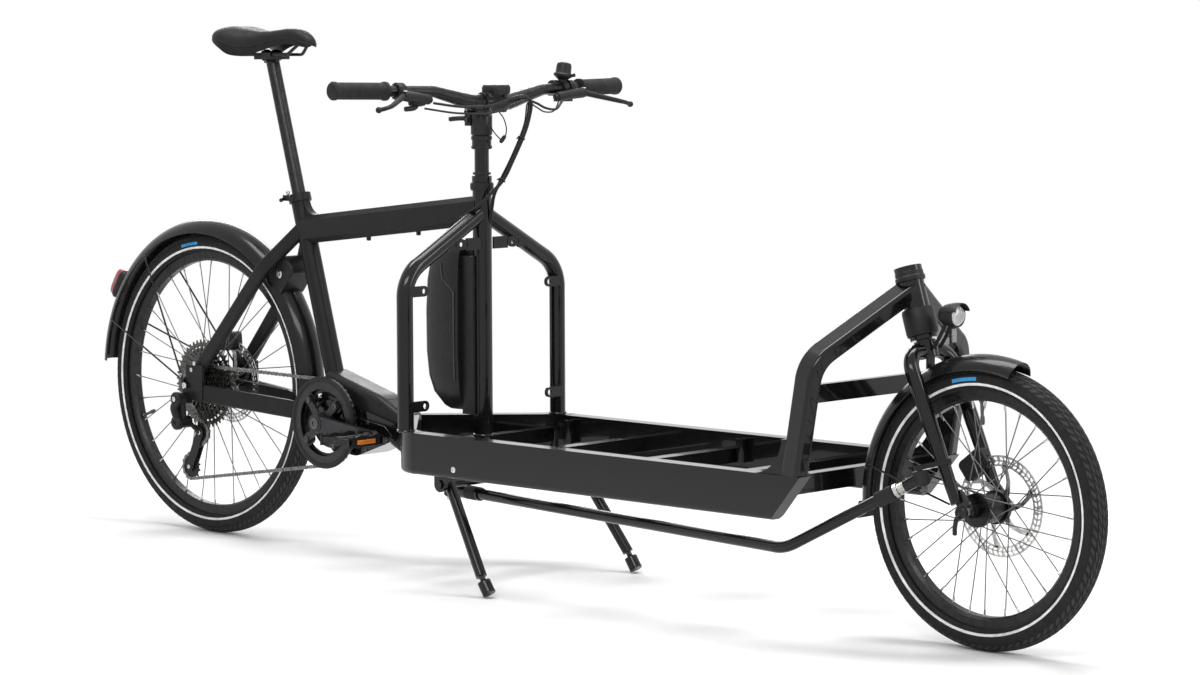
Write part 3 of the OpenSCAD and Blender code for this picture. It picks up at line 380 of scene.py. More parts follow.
def smooth(points, steps=8):
    """A smooth line through given points."""
    points = [Vector(p) for p in points]
    ends = [points[0] * 2 - points[1]] + points + [points[-1] * 2 - points[-2]]
    line = []
    for a, b, c, d in zip(ends, ends[1:], ends[2:], ends[3:]):
        for k in range(steps):
            t = k / steps
            line.append(((b * 2) + (c - a) * t + (a * 2 - b * 5 + c * 4 - d) * t ** 2
                         + (b * 3 - a - c * 3 + d) * t ** 3) / 2)
    return line + [points[-1]]


def bolt(shape, at, axis, r, h):
    """A round bolt head with a sunk middle."""
    shape.lathe(at, axis, [(r, 0), (r, h * 0.8), (r * 0.85, h), (r * 0.55, h), (r * 0.5, h * 0.5)], 14)


def nut(shape, at, axis, r, h):
    shape.lathe(at, axis, [(r * 0.9, 0), (r, h * 0.12), (r, h * 0.88), (r * 0.9, h)], 6)


# The frame's own pieces take their finish
FINISHES = {
    SATIN: "top_tube seat_tube seat_stays chain_stays boom",
    GLOSS: "column hoop_left hoop_right rail_left rail_right cross_members upright_left upright_right "
           "front_bar front_head fork tie_rod steerer stand motor",
    PLASTIC: "battery_cradle derailleur rear_caliper front_caliper brake_levers display bell "
             "pedal_left pedal_right",
    GUARD: "rear_mudguard front_mudguard", SHELL: "battery",
    ALLOY: "stem handlebar seat_post front_rim rear_rim front_hub rear_hub rear_axle",
    CRANK: "crank_arms chainring", CHAIN_STEEL: "chain", STEEL: "front_axle front_rotor rear_rotor",
    DARK_STEEL: "cassette", SPOKE: "front_spokes rear_spokes", TYRE: "front_tyre rear_tyre",
    RUBBER: "grips", LEATHER: "saddle", RED: "rear_light", CLEAR: "headlight",
}


def dress_frame():
    for material, names in FINISHES.items():
        for name in names.split():
            data = nodes[name].data
            data.materials.clear()
            data.materials.append(material)


# Tyres: tread blocks, reflective stripe and a plain coloured patch
def on_tyre(axle, r, turn, side, lift):
    """A point on a tyre, by its turn round the axle and its angle round the section."""
    ring_r = r - TYRE_W / 2
    reach = ring_r + (TYRE_W / 2 + lift) * cos(side)
    y = (TYRE_W / 2 + lift) * sin(side)
    return vec(axle.x + reach * cos(turn), y, axle.z + reach * sin(turn))


def tread_block(shape, axle, r, turn, length, side, width, skew, lift):
    """A block on a tyre, sunk a little in it and narrower at its top."""
    shape.loft([[on_tyre(axle, r, turn + t * shrink + skew * s, side + s * shrink, height)
                 for t, s in oblong(length, width)] for height, shrink in ((-0.6, 1.0), (lift, 0.86))])


def tyre_band(shape, axle, r, low, high, lift, start=0.0, sweep=2 * pi, steps=96):
    for sign in (-1, 1):
        shape.loft([[on_tyre(axle, r, turn, sign * side, height)
                     for side, height in ((low, -0.3), (low, lift), (high, lift), (high, -0.3))]
                    for turn in span(start, start + sweep, steps)])


# Rows of tread blocks: shift, half length, angle round the section, half width, skew and height
TREAD_ROWS = ((0, 0.72, 0.155, 0.1, 0.2, 0.9), (1, 0.74, 0.45, 0.125, 0.24, 0.9),
              (0, 0.62, 0.83, 0.17, 0.12, 0.7))
TREAD_PITCH, PATCH_LENGTH = 17, 58


def dress_tyre(name, body, axle, r, patch_turn):
    tread = Shape()
    rows = round(2 * pi * r / TREAD_PITCH)
    half = pi / rows
    for turn in turns(rows):
        for sign in (-1, 1):
            for shift, length, side, width, skew, lift in TREAD_ROWS:
                tread_block(tread, axle, r, turn + half * shift, half * length, sign * side, width,
                            sign * skew, lift)
    tread.piece(name + "_tread", TREAD, body, "tyre_rubber")
    stripe = Shape()
    tyre_band(stripe, axle, r, 1.76, 1.96, 0.25)
    stripe.piece(name + "_stripe", WHITE, body, "tyre_rubber")
    patch = Shape()
    tyre_band(patch, axle, r, 1.33, 1.6, 0.22, radians(patch_turn), PATCH_LENGTH / r, 8)
    patch.piece(name + "_patch", BLUE, body, "tyre_rubber")
    ribs = Shape()
    tyre_band(ribs, axle, r, 1.1, 1.14, 0.45)
    tyre_band(ribs, axle, r, 2.08, 2.14, 0.5)
    ribs.piece(name + "_ribs", TYRE, body, "tyre_rubber")


# Wheels: nipples, valve and brake disc
DISC_THICK = 1.9


def dress_wheel(body, axle, bead, valve_turn):
    nipples = Shape()
    inner = bead - RIM_DEPTH
    per_side = 16
    for sign in (-1, 1):
        for k in range(per_side):
            turn = k * 360 / per_side + (180 / per_side if sign > 0 else 0)
            lead = 1 if k % 2 == 0 else -1
            foot = polar(axle, inner + 1, turn, sign * (3 + lead * 2))
            head = polar(axle, inner - 13, turn + lead * 0.5, sign * (4 + lead * 2))
            nipples.sweep([foot, foot.lerp(head, 0.7), head], [2.1, 2.0, 1.5], 8)
    nipples.piece(body + "_nipples", SILVER, body, "steel")
    valve = Shape()
    way = polar(ORIGIN, 1, valve_turn)
    valve.lathe(polar(axle, inner + 2, valve_turn), -way,
                [(4.5, 0), (4.5, 5), (3.1, 6), (3.1, 30), (4, 30.5), (4, 42), (2.4, 45)], 14)
    valve.piece(body + "_valve", DARK_STEEL, body, "steel")


def dress_rotor(name, node, body, axle, y):
    """Brake disc: three thin rings joined by slanted bars, on curved arms."""
    disc = Shape()
    at = vec(axle.x, y, axle.z)
    half = Y * DISC_THICK / 2
    for outer, inner in ((90, 86.4), (81.2, 78.8), (74, 70.5)):
        disc.band(circle(outer, 96), circle(inner, 96), at, X, Z, DISC_THICK)
    bars = 48
    for low, high, lean in ((80.6, 86.8, 2.6), (73.6, 79.2, -2.6)):
        for k in range(bars):
            turn = 360 * k / bars + lean
            a, b = polar(axle, low, turn, y), polar(axle, high, turn + lean, y)
            side = (b - a).normalized().cross(Y) * (1.3 if k % 4 else 2.6)
            disc.loft([[a - side - half, a + side - half, b + side - half, b - side - half],
                       [a - side + half, a + side + half, b + side + half, b - side + half]])
    for k in range(6):
        arm = [polar(axle, 21 + 51.5 * t, 60 * k + 26 * t ** 1.4, y) for t in (0, 0.25, 0.5, 0.75, 1)]
        rings = []
        for i, (p, wide) in enumerate(zip(arm, (7, 5, 4, 4, 6))):
            side = (arm[min(i + 1, 4)] - arm[max(i - 1, 0)]).normalized().cross(Y) * wide
            rings.append([p - side - half, p + side - half, p + side + half, p - side + half])
        disc.loft(rings)
    disc.band(circle(24, 48), circle(13, 48), at, X, Z, DISC_THICK)
    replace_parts(disc.piece(name, STEEL, body, "steel"), node)
    lock = Shape()
    lock.lathe(at, Y, [(15, 0), (19, 1.5), (19, 5), (17, 6.5), (13, 6.5)], 36)
    for k in range(6):
        bolt(lock, polar(axle, 19.5, 60 * k + 30, y + 1), Y, 3, 2)
    lock.piece(name + "_lock_ring", ALLOY, body, "black_alloy")


# Drive: toothed sprockets, chain of links, crank and pedals
def pitch_radius(teeth):
    return CHAIN_PITCH / (2 * sin(pi / teeth))


def tooth_outline(teeth, tall=1.0):
    """Root and tip points of a sprocket, four to a tooth."""
    r = pitch_radius(teeth)
    step = 2 * pi / teeth
    outline = []
    for k in range(teeth):
        for share, reach in ((-0.28, -3.4), (-0.11, 2.9 * tall), (0.11, 2.9 * tall), (0.28, -3.4)):
            a = (k + 0.5 + share) * step
            outline.append(((r + reach) * cos(a), (r + reach) * sin(a)))
    return outline


def ring_like(outline, r):
    """A circle with a point beneath each point of an outline."""
    return [(r * x / hypot(x, y), r * y / hypot(x, y)) for x, y in outline]


SPROCKETS = (46, 40, 36, 32, 28, 24, 21, 19, 17, 15, 13, 11)
SPIDERS, SPROCKET_STEP = 6, 3.7
CHAINRING_TEETH, DRIVE_TEETH = 44, 21
GUIDE_WHEELS = ((14, REAR_R - 103, 11), (-22, REAR_R - 180, 13))


def dress_cassette():
    teeth_piece = Shape()
    for k, teeth in enumerate(SPROCKETS):
        at = vec(0, CHAIN_Y + (6 - k) * SPROCKET_STEP, REAR_R)
        outline = tooth_outline(teeth)
        r = pitch_radius(teeth)
        inner = r - 12 if k < SPIDERS else 14
        teeth_piece.band(outline, ring_like(outline, inner), at, X, Z, 1.6)
        if k < SPIDERS:
            for arm in range(6):
                turn = 60 * arm + 9 * k
                path = [polar(at, 14 + (inner - 12) * t, turn + 22 * t, at.y) for t in (0, 0.5, 1)]
                teeth_piece.sweep(path, [4.5, 3.2, 4.2], 6)
    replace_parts(teeth_piece.piece("cassette_sprockets", DARK_STEEL, "rear_wheel", "steel"), "cassette")
    core = Shape()
    core.lathe((0, CHAIN_Y - 19.5, REAR_R), Y,
               [(10, 0), (17, 0), (18, 2), (16, 4), (16, 42), (13, 43)], 36)
    core.piece("cassette_core", ALLOY, "rear_wheel", "black_alloy")


def dress_chainring():
    ring = Shape()
    outline = tooth_outline(CHAINRING_TEETH)
    ring.band(outline, ring_like(outline, 66), BRACKET + Y * CHAIN_Y, X, Z, 1.8)
    ring.piece("chainring_teeth", DARK_STEEL, "crank", "black_alloy")
    bolts = Shape()
    for k in range(4):
        bolt(bolts, polar(BRACKET, 58, -50 + 90 * k, -65), -Y, 6, 3)
    for sign in (-1, 1):
        bolts.lathe(BRACKET + Y * 82 * sign, Y * sign,
                    [(12, 0), (12, 1.5), (10, 2.5), (5, 2.5), (4.5, 0.8)], 24)
    bolts.piece("crank_bolts", DARK_STEEL, "crank", "steel")
    guard = Shape()
    centre = BRACKET - Y * 57.5
    r = pitch_radius(CHAINRING_TEETH) + 7
    guard.band(circle(r, 120), circle(r - 12, 120), centre, X, Z, 4.2)
    guard.band(circle(r - 3, 120), circle(r - 8, 120), centre - Y * 2.4, X, Z, 1.4)
    guard.piece("chain_guard_ring", PLASTIC, "crank", "black_alloy", 0.6)


# Wheels that the chain goes round: place, radius and the way it turns
CHAIN_DISCS = [(x, z, pitch_radius(teeth), way) for x, z, teeth, way in (
    (BRACKET.x, BRACKET.z, CHAINRING_TEETH, 1), (0, REAR_R, DRIVE_TEETH, 1),
    (*GUIDE_WHEELS[0], -1), (*GUIDE_WHEELS[1], 1))]


def run_normal(a, b):
    dx, dz = b[0] - a[0], b[1] - a[1]
    return atan2(dz, dx) - pi / 2 + asin((a[2] * a[3] - b[2] * b[3]) / hypot(dx, dz))


def chain_line():
    """The chain's line round its four toothed wheels, as close points."""
    line = []
    following = CHAIN_DISCS[1:] + CHAIN_DISCS[:1]
    for i, disc in enumerate(CHAIN_DISCS):
        x, z, r, way = disc
        start = run_normal(CHAIN_DISCS[i - 1], disc)
        sweep = way * (way * (run_normal(disc, following[i]) - start) % (2 * pi))
        line += [vec(x + r * way * cos(a), CHAIN_Y, z + r * way * sin(a))
                 for a in span(start, start + sweep, 48)]
    return line


def even_points(line):
    """Points on a closed line, one chain pitch apart."""
    closed = line + [line[0]]
    lengths = [(b - a).length for a, b in zip(closed, closed[1:])]
    count = 2 * round(sum(lengths) / CHAIN_PITCH / 2)
    step = sum(lengths) / count
    points, gone, i = [], 0.0, 0
    for k in range(count):
        while gone + lengths[i] < k * step:
            gone += lengths[i]
            i += 1
        points.append(closed[i].lerp(closed[i + 1], (k * step - gone) / max(lengths[i], 1e-9)))
    return points


def link_outline(length):
    outline = []
    for centre, start in ((length, -90), (0, 90)):
        for a in span(radians(start), radians(start + 180), 6):
            outline.append((centre + 3.9 * cos(a), 3.9 * sin(a)))
    outline.insert(7, (length / 2, 2.7))
    outline.append((length / 2, -2.7))
    return outline


def dress_chain():
    points = even_points(chain_line())
    links, rollers = Shape(), Shape()
    for k, p in enumerate(points):
        q = points[(k + 1) % len(points)]
        along = (q - p).normalized()
        up = along.cross(Y).normalized()
        off = 2.5 if k % 2 else 1.5
        for sign in (-1, 1):
            links.prism(link_outline((q - p).length), p + Y * sign * off, along, up, 0.9)
        rollers.lathe(p - Y * 3.2, Y,
                      [(1.7, 0), (1.7, 2), (3.6, 2.05), (3.6, 4.35), (1.7, 4.4), (1.7, 6.4)], 10)
    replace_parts(links.piece("chain_plates", CHAIN_STEEL, "frame", "steel"), "chain")
    rollers.piece("chain_rollers", DARK_STEEL, "frame", "steel")


def dress_pedals():
    crank = vec(cos(CRANK_TURN), 0, -sin(CRANK_TURN)) * CRANK_LENGTH
    for name, sign in (("right", 1), ("left", -1)):
        at = BRACKET + crank * sign
        y0, y1 = -sign * 86.5, -sign * 177
        mid = at + Y * (y0 + y1) / 2
        cage = Shape()
        for side in (-1, 1):
            cage.prism([(-46, -11), (46, -11), (46, 9), (30, 13), (10, 9), (-10, 13), (-30, 9), (-46, 11)],
                       mid + X * side * 41, Y, Z, 6)
            cage.prism(oblong(44, 6), mid + Y * side * 41.5, X, Z, 7)
        cage.lathe(at + Y * y0, Y * -sign, [(11, 0), (11, 10), (8.5, 14), (8.5, 78), (10, 84), (10, 88)], 24)
        for step in (-24, 0, 24):
            cage.prism(oblong(42, 4), mid + Y * step, X, Z, 5)
        for side in (-1, 1):
            for step in (-30, -10, 10, 30):
                cage.lathe(mid + X * side * 41 + Y * step, Z, [(2, 8), (2, 13), (1.2, 14)], 8)
        body = "pedal_" + name
        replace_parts(cage.piece(body + "_cage", PLASTIC, body, "matte_plastic", 0.8), body)
        reflectors = Shape()
        for side in (-1, 1):
            reflectors.prism(oblong(24, 4.5), mid + X * side * 45.2 - Z, Y, Z, 3)
        reflectors.piece(body + "_reflectors", ORANGE, body, "matte_plastic", 0.8)


def dress_derailleur():
    wheels = Shape()
    for x, z, teeth in GUIDE_WHEELS:
        outline = tooth_outline(teeth, 0.8)
        wheels.band(outline, ring_like(outline, 8), vec(x, CHAIN_Y, z), X, Z, 2.4)
    wheels.piece("derailleur_wheels", PLASTIC, "frame", "matte_plastic")
    body = Shape()
    knuckle = vec(-8, -98, REAR_R - 28)
    foot = vec(-20, -84, REAR_R - 81)
    body.lathe(knuckle + Y * 2, -Y, [(14, 0), (15, 2), (15, 8), (13, 11), (6, 11), (5, 8)], 28)
    body.sweep(smooth([knuckle + vec(2, 0, -4), vec(-20, -97, REAR_R - 50), foot]), 9.5, 14)
    body.lathe(foot + Y * 2, -Y, [(15, 0), (16, 3), (16, 12), (13, 15), (5, 15), (4, 12)], 28)
    body.piece("derailleur_body", PLASTIC, "frame", "matte_plastic", 0.6)
    bolts = Shape()
    for x, z, _ in GUIDE_WHEELS:
        bolt(bolts, (x, CHAIN_Y - 7, z), -Y, 4.5, 2.5)
    bolt(bolts, knuckle - Y * 9, -Y, 5.5, 2.5)
    bolt(bolts, (0, -84, REAR_R), -Y, 7, 3)
    bolts.piece("derailleur_bolts", SILVER, "frame", "steel")


# Motor covers, battery pack and frame lock
def dress_motor():
    cover = Shape()
    for sign in (-1, 1):
        at = BRACKET + Y * sign * 40
        cover.lathe(at, Y * sign, [(47, 0), (47, 2), (43, 4.5), (24, 5), (20, 2), (14, 2)], 56)
        cover.prism([(18, -40), (84, -52), (150, -34), (172, -14), (150, 4), (80, 14), (30, 28)],
                    BRACKET + Y * sign * 40.5 + X * 20, X, Z, 3)
    cover.piece("motor_covers", GLOSS, "frame", "matte_plastic", 1.2)
    bolts = Shape()
    for sign in (-1, 1):
        for x, z in ((54, -52), (112, -48), (176, -22), (120, 8)):
            bolt(bolts, BRACKET + vec(x, sign * 41.5, z), Y * sign, 4, 2)
    bolts.piece("motor_bolts", DARK_STEEL, "frame", "steel")


# The battery's steps: share of height, how far its back is drawn in and half its width
BATTERY_STEPS = ((0, 62, 24), (0.02, 48, 30), (0.1, 20, 37), (0.2, 7, 40.5), (0.35, 1, 42), (0.6, 0, 42),
                 (0.8, 4, 41), (0.9, 12, 39.5), (0.96, 24, 37), (0.99, 36, 34), (1, 48, 30))
BATTERY_SEAM = ((8, 40.2, 60), (8, 41.8, 120), (8, 41.8, 236), (40, 41.6, 262), (46, 40.4, 292))
BATTERY_FLAT, BATTERY_ROUND = 14, 0.55


def dress_battery():
    """Battery pack with a swelling back, narrower at its foot and its top."""
    low, high = measured(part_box("battery"))
    front = high.x - BATTERY_FLAT
    pack = Shape()
    rings = []
    for t, back, half in BATTERY_STEPS:
        z = low.z + (high.z - low.z) * t
        ring = []
        for a in span(0, pi, 24):
            depth = (front - low.x - back) * squared(sin(a), BATTERY_ROUND)
            ring.append(vec(front - depth, half * squared(cos(a), BATTERY_ROUND), z))
        ring += [vec(high.x, -half + 4, z), vec(high.x, half - 4, z)]
        rings.append(ring)
    pack.loft(rings)
    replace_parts(pack.piece("battery_pack", SHELL, "frame", "battery_shell"), "battery")
    seam = Shape()
    for sign in (-1, 1):
        seam.sweep([vec(high.x - x, sign * y, low.z + z) for x, y, z in BATTERY_SEAM], 1.1, 8)
    seam.piece("battery_seam", DARK_STEEL, "frame", "battery_shell")


def dress_lock():
    """Frame lock between the seat stays, over the rear mudguard."""
    lock = Shape()
    at = vec(258, 0, 574)
    way = vec(0.64, 0, 0.77)
    square = vec(-0.77, 0, 0.64)
    lock.prism([(-34, -26), (30, -26), (36, -16), (36, 18), (26, 28), (-26, 28), (-34, 18)],
               at, way, square, 66)
    lock.piece("frame_lock", PLASTIC, "frame", "matte_plastic", 4)
    pin = Shape()
    for sign in (-1, 1):
        bolt(pin, at + Y * sign * 33, Y * sign, 8, 3)
    pin.piece("frame_lock_bolts", SILVER, "frame", "steel")


# Cockpit: grips, levers, bell, display and hoses
BAR_END = vec(831, 393, 968)
GRIP_WAY = (BAR_END - vec(857, 150, 964)).normalized()
GRIP_IN = BAR_END - GRIP_WAY * 130
BAR_TAPER = ((861, 44, 941), (860.5, 62, 943.5), (859, 100, 952.5), (857.2, 144, 962.5))


def mirrored(p, sign):
    return vec(p[0], p[1] * sign, p[2])


def dress_grips():
    profile = [(12, 0), (18.5, 1), (18.5, 7), (16.2, 9)]
    for k in range(26):
        profile += [(16.6, 11 + k * 4), (15.8, 13 + k * 4)]
    profile += [(16.4, 117), (18, 120), (18, 126), (15, 129.5), (6, 130)]
    grips = Shape()
    for sign in (-1, 1):
        grips.lathe(mirrored(GRIP_IN, sign), mirrored(GRIP_WAY, sign), profile, 30)
    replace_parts(grips.piece("ribbed_grips", RUBBER, "steering", "grip_rubber"), "grips")


def dress_levers():
    levers, bolts = Shape(), Shape()
    mid = GRIP_IN - GRIP_WAY * 30
    for sign in (-1, 1):
        def at(x, y, z):
            return mirrored(mid + vec(x, y, z), sign)
        way = mirrored(GRIP_WAY, sign)
        levers.lathe(mirrored(mid - GRIP_WAY * 9, sign), way,
                     [(12, 0), (16, 0), (17, 2), (17, 16), (16, 18), (12, 18)], 28)
        levers.sweep(smooth([at(6, 2, -3), at(18, 0, -8), at(27, -6, -12)]), 8, 12)
        levers.sweep(smooth([at(22, -64, -18), at(25, -46, -15), at(28, -10, -11), at(30, 16, -9)]),
                     [4.5] + [7] * 3 + [10] * 19 + [9] * 2, 16)
        tip = mirrored(BAR_END + vec(82, -50, -36), sign)
        blade = smooth([at(30, 14, -9), at(44, 40, -16), at(66, 78, -26), at(70, 96, -30), tip])
        levers.sweep(blade, [6.5 - 2.2 * min(1, i / 20) for i in range(len(blade))], 12)
        levers.lathe(tip, (0.2, sign, 0), [(4.3, -2), (6, 1), (6, 5), (4, 8), (1, 9)], 14)
        levers.prism([(-20, -8), (18, -8), (24, 0), (18, 9), (-20, 9)], at(18, -34, -20), Y * sign, X, 12)
        bolt(bolts, at(31, 12, 0), Z, 4.5, 2)
        bolt(bolts, at(-12, 0, -13), -Z, 4, 3)
    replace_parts(levers.piece("brake_lever_set", PLASTIC, "steering", "matte_plastic", 0.5), "brake_levers")
    bolts.piece("lever_bolts", SILVER, "steering", "steel")
    shifter = Shape()
    root = mirrored(mid + vec(8, -40, -20), -1)
    shifter.lathe(root + Z * 8, -Z, [(10, 0), (16, 2), (18, 8), (16, 16), (8, 18)], 24)
    shifter.sweep(smooth(from_point(root, (4, -4, -6), (18, -24, -12), (16, -46, -14))), 5, 10)
    remote = mirrored(mid + vec(-4, -38, 2), 1)
    shifter.lathe(remote - Y * 8, Y, [(12, 0), (15, 1), (15, 15), (12, 16)], 24)
    shifter.prism([(-14, -12), (14, -12), (18, 0), (14, 14), (-14, 14)],
                  remote + vec(-10, 18, -12), Y, X, 10)
    shifter.piece("shifter_and_remote", PLASTIC, "steering", "matte_plastic", 0.8)


def dress_bell():
    at = GRIP_IN - GRIP_WAY * 52
    bell = Shape()
    bell.lathe(at - GRIP_WAY * 8, GRIP_WAY, [(11.5, 0), (15, 0), (15, 16), (11.5, 16)], 24)
    bell.sweep([at + Z * 9, at + vec(1, 0, 20)], [9, 8], 16)
    dome = [(8, 0), (9, 8), (16, 14), (19, 16), (19.5, 20), (17, 22), (15.8, 24), (15.4, 37), (13.5, 42),
            (9, 44), (8, 42.5), (2, 42)]
    bell.lathe(at + Z * 9, (0.06, 0.12, 1), dome, 36)
    bell.sweep(from_point(at, (14, 4, 26), (22, 8, 26), (27, 9, 27)), [3, 3, 4], 10)
    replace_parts(bell.piece("bell_dome", PLASTIC, "steering", "matte_plastic"), "bell")


def dress_stem():
    low, high = measured(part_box("display"))
    centre = vec((low.x + high.x) / 2, 0, high.z)
    glass = Shape()
    glass.prism(oblong(18, 19), centre + Z * 0.3, X, Y, 1.6)
    glass.piece("display_glass", SHELL, "steering", "matte_plastic", 0.5)
    case = Shape()
    half, tall = (high - low) / 2, high.z - low.z
    case.loft([laid(rounded(half.x * share, half.y * share, 0.4, 40), centre, X, Y, -drop)
               for share, drop in ((0.86, tall), (0.97, tall * 0.82), (1, tall * 0.3), (0.97, 2), (0.9, 0))])
    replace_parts(case.piece("display_case", PLASTIC, "steering", "matte_plastic"), "display")
    body = Shape()
    foot = measured(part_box("stem"))[0].z
    body.lathe((COLUMN_X, 0, foot), Z, [(14, 0), (20, 0.5), (21.5, 3), (21.5, 40), (20, 44), (14, 46)], 40)
    body.lathe(BAR_MID - Y * 26, Y, [(12, 0), (19, 0.5), (20.5, 3), (20.5, 49), (19, 51.5), (12, 52)], 40)
    body.sweep([(COLUMN_X, 0, 914), (848, 0, 928), BAR_MID], [18, 16, 17], 24)
    body.prism(oblong(25, 20), BAR_MID + X * 16, Y, Z, 8)
    body.prism(oblong(8, 20), STEM_CLAMP, X, Z, 44)
    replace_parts(body.piece("stem_body", ALLOY, "steering", "black_alloy", 1), "stem")
    bolts = Shape()
    for y in (-20, 20):
        for z in (-14, 14):
            bolt(bolts, BAR_MID + vec(20, y, z), X, 4, 4)
    for z in (-9, 8):
        for sign in (-1, 1):
            bolt(bolts, STEM_CLAMP + vec(0, sign * 22, z), Y * sign, 4.5, 5)
    bolts.piece("stem_bolts", DARK_STEEL, "steering", "steel")
    collars = Shape()
    for z, r, h in ((849, 21, 6), (866, 21, 8), (797, 18, 6)):
        collars.lathe((COLUMN_X, 0, z), Z, [(14, 0), (r, 0.5), (r, h - 0.5), (14, h)], 40)
    collars.sweep(smooth([(818, -10, 909), (800, -26, 909), (776, -30, 907)]), 5, 10)
    for sign in (-1, 1):
        collars.sweep([mirrored(p, sign) for p in BAR_TAPER], [15.8, 15.2, 13.2, 11.4], 24)
    collars.piece("steerer_collars", ALLOY, "steering", "black_alloy", 0.4)


# The hoses gather ahead of the column, and part again where they go into the frame
BUNDLE = ((880, 90, 938), (886, 76, 902), (885, 61, 869), (883, 36, 826), (878, 13, 787))
REAR_ENDS = ((866, -12, 758), (850, -29, 735), (822, -32, 720), (794, -22, 712))
FRONT_ENDS = ((868, 4, 760), (862, 3, 735), (858, 3, 712), (850, 2, 690))
HOSES = (
    ("hose_rear_brake", 5.0, (2.8, 2.8), ((884, -176, 942), (900, -112, 934), (906, -40, 936), (900, 24, 950),
                                          (890, 66, 952)), REAR_ENDS),
    ("cable_shifter", 4.0, (2.8, -2.8), ((880, -196, 932), (904, -128, 922), (914, -44, 922), (906, 22, 938),
                                         (893, 64, 944)), REAR_ENDS),
    ("hose_front_brake", 5.0, (-2.8, 2.8), ((884, 178, 940), (892, 152, 925), (890, 124, 928),
                                            (884, 104, 938)), FRONT_ENDS),
    ("cable_remote", 3.0, (-2.8, -2.8), ((864, 192, 946), (880, 160, 922), (884, 128, 920), (882, 106, 930)),
     FRONT_ENDS),
)


def cord_piece(name, line, thick, body=None):
    made = Shape().sweep(line, thick / 2, 10).piece(name, CABLE, body, "grip_rubber")
    return made


def dress_hoses():
    for name, thick, (dx, dy), head, tail in HOSES:
        aside = vec(dx, dy, 0)
        route = [Vector(p) for p in head] + [Vector(p) + aside for p in BUNDLE]
        route += [Vector(p) + aside * 0.8 for p in tail]
        made = cord_piece(name, smooth(route), thick)
        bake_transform(made)
    ties = Shape()
    for at, way in ((BUNDLE[2], vec(0, 0.5, 0.87)), (BUNDLE[4], vec(0.1, 0.5, 0.86))):
        u, v = across(way.normalized())
        ring = hoop(Vector(at), u, v, 6.6, 32)
        ties.sweep(ring + ring[:1], 1.5, 8)
        ties.sweep(from_point(Vector(at), u * 6, u * 10, u * 15 - v * 2), [2.2, 1.8, 1.0], 8)
    made = ties.piece("hose_ties", PLASTIC, None, "matte_plastic")
    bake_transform(made)
    loop = smooth(((874, 8, 924), (884, 14, 908), (889, 16, 886), (884, 12, 866), (873, 4, 876),
                   (862, -2, 893)))
    cord_piece("display_lead", loop, 2.4, "steering")
    plug = Shape()
    plug.lathe((886, 13.5, 873), (-0.5, -0.3, -0.8),
               [(1.4, -3), (3.6, -1), (4.2, 3), (4.2, 11), (3, 14), (1.4, 15)], 16)
    plug.piece("display_lead_joiner", RUBBER, "steering", "matte_plastic")


# Saddle: share of length, fall of the top, share of width and depth of the skirt at each step
SADDLE_STEPS = ((0, -14, 0.5, 12), (0.03, -6, 0.74, 24), (0.09, -1, 0.92, 36), (0.18, 0, 1, 49),
                (0.28, -4, 0.95, 60), (0.4, -9, 0.7, 58), (0.5, -10, 0.5, 48), (0.62, -8, 0.38, 40),
                (0.75, -5, 0.33, 36), (0.86, -8, 0.3, 34), (0.94, -17, 0.26, 29),
                (0.985, -27, 0.19, 20), (1, -36, 0.07, 8))
SADDLE_ROUND, CHANNEL_DEPTH, CHANNEL_HALF = 0.67, 2.5, 8


def dress_saddle():
    """A padded shell with a sunk channel, hollow below."""
    low, high = measured(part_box("saddle"))
    size = high - low
    pad = Shape()
    rings = []
    for s, fall, share, depth in smooth(SADDLE_STEPS, 4):
        x, half, foot = low.x + size.x * s, size.y * share / 2, high.z + fall - depth
        ring = []
        for a in span(0, pi, 24):
            y = half * squared(cos(a), SADDLE_ROUND)
            sunk = exp(-(y / CHANNEL_HALF) ** 2) * max(0, sin(pi * s)) ** 2
            ring.append(vec(x, y, foot + depth * sin(a) ** SADDLE_ROUND - CHANNEL_DEPTH * sunk))
        for a in span(0, pi, 12)[1:-1]:
            ring.append(vec(x, -half * 0.93 * cos(a), foot + 0.5 * depth * sin(a)))
        rings.append(ring)
    pad.loft(rings)
    made = pad.piece("saddle_pad", LEATHER, "frame", "saddle_cover", subdivide=1)
    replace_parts(made, "saddle")
    seam = Shape()
    for k in (2, 22):
        seam.sweep([ring[k] + Z * 0.2 for ring in rings[4:-4]], 0.8, 8)
    seam.piece("saddle_seam", RUBBER, "frame", "saddle_cover")


# Hooded headlight on its bracket, and rear light
def dress_headlight():
    at = on_head(582) + X * 80
    lamp = Shape()
    lamp.lathe(at - X * 24, X, [(5, -4), (13, -2), (18, 6), (20.5, 18), (21, 30), (20.5, 33), (18.5, 33),
                                (17, 24)], 40)
    arc = span(radians(20), radians(160), 16)
    lamp.loft([laid(skin(arc, r, 1.8), at + X * x, Y, Z, 0)
               for x, r in ((-16, 19), (0, 22.4), (12, 23), (18, 22.6))])
    foot = on_head(523) + X * 24
    for sign in (-1, 1):
        arm = from_point(at, (-14, sign * 8, -17), (-22, sign * 9, -34))
        lamp.sweep(smooth(arm + [foot + Y * sign * 9]), 3.4, 10)
    lamp.prism(oblong(7, 14), at + vec(-3, 0, -35), Y, Z, 4)
    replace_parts(lamp.piece("headlight_housing", PLASTIC, "fork", "matte_plastic"), "headlight")
    glass = Shape()
    glass.lathe(at + X * 2, X, [(17.4, 0), (18, 6), (14, 10.5), (7, 12), (0.5, 12.4)], 36)
    glass.prism(oblong(5.5, 12), at - Z * 35, Y, Z, 3)
    glass.piece("headlight_glass", CLEAR, "fork", "clear_lens")
    bowl = Shape()
    bowl.lathe(at - X * 8, X, [(2, 0), (8, 1), (13, 4), (16, 8)], 32)
    bowl.piece("headlight_bowl", MIRROR, "fork", "clear_lens")


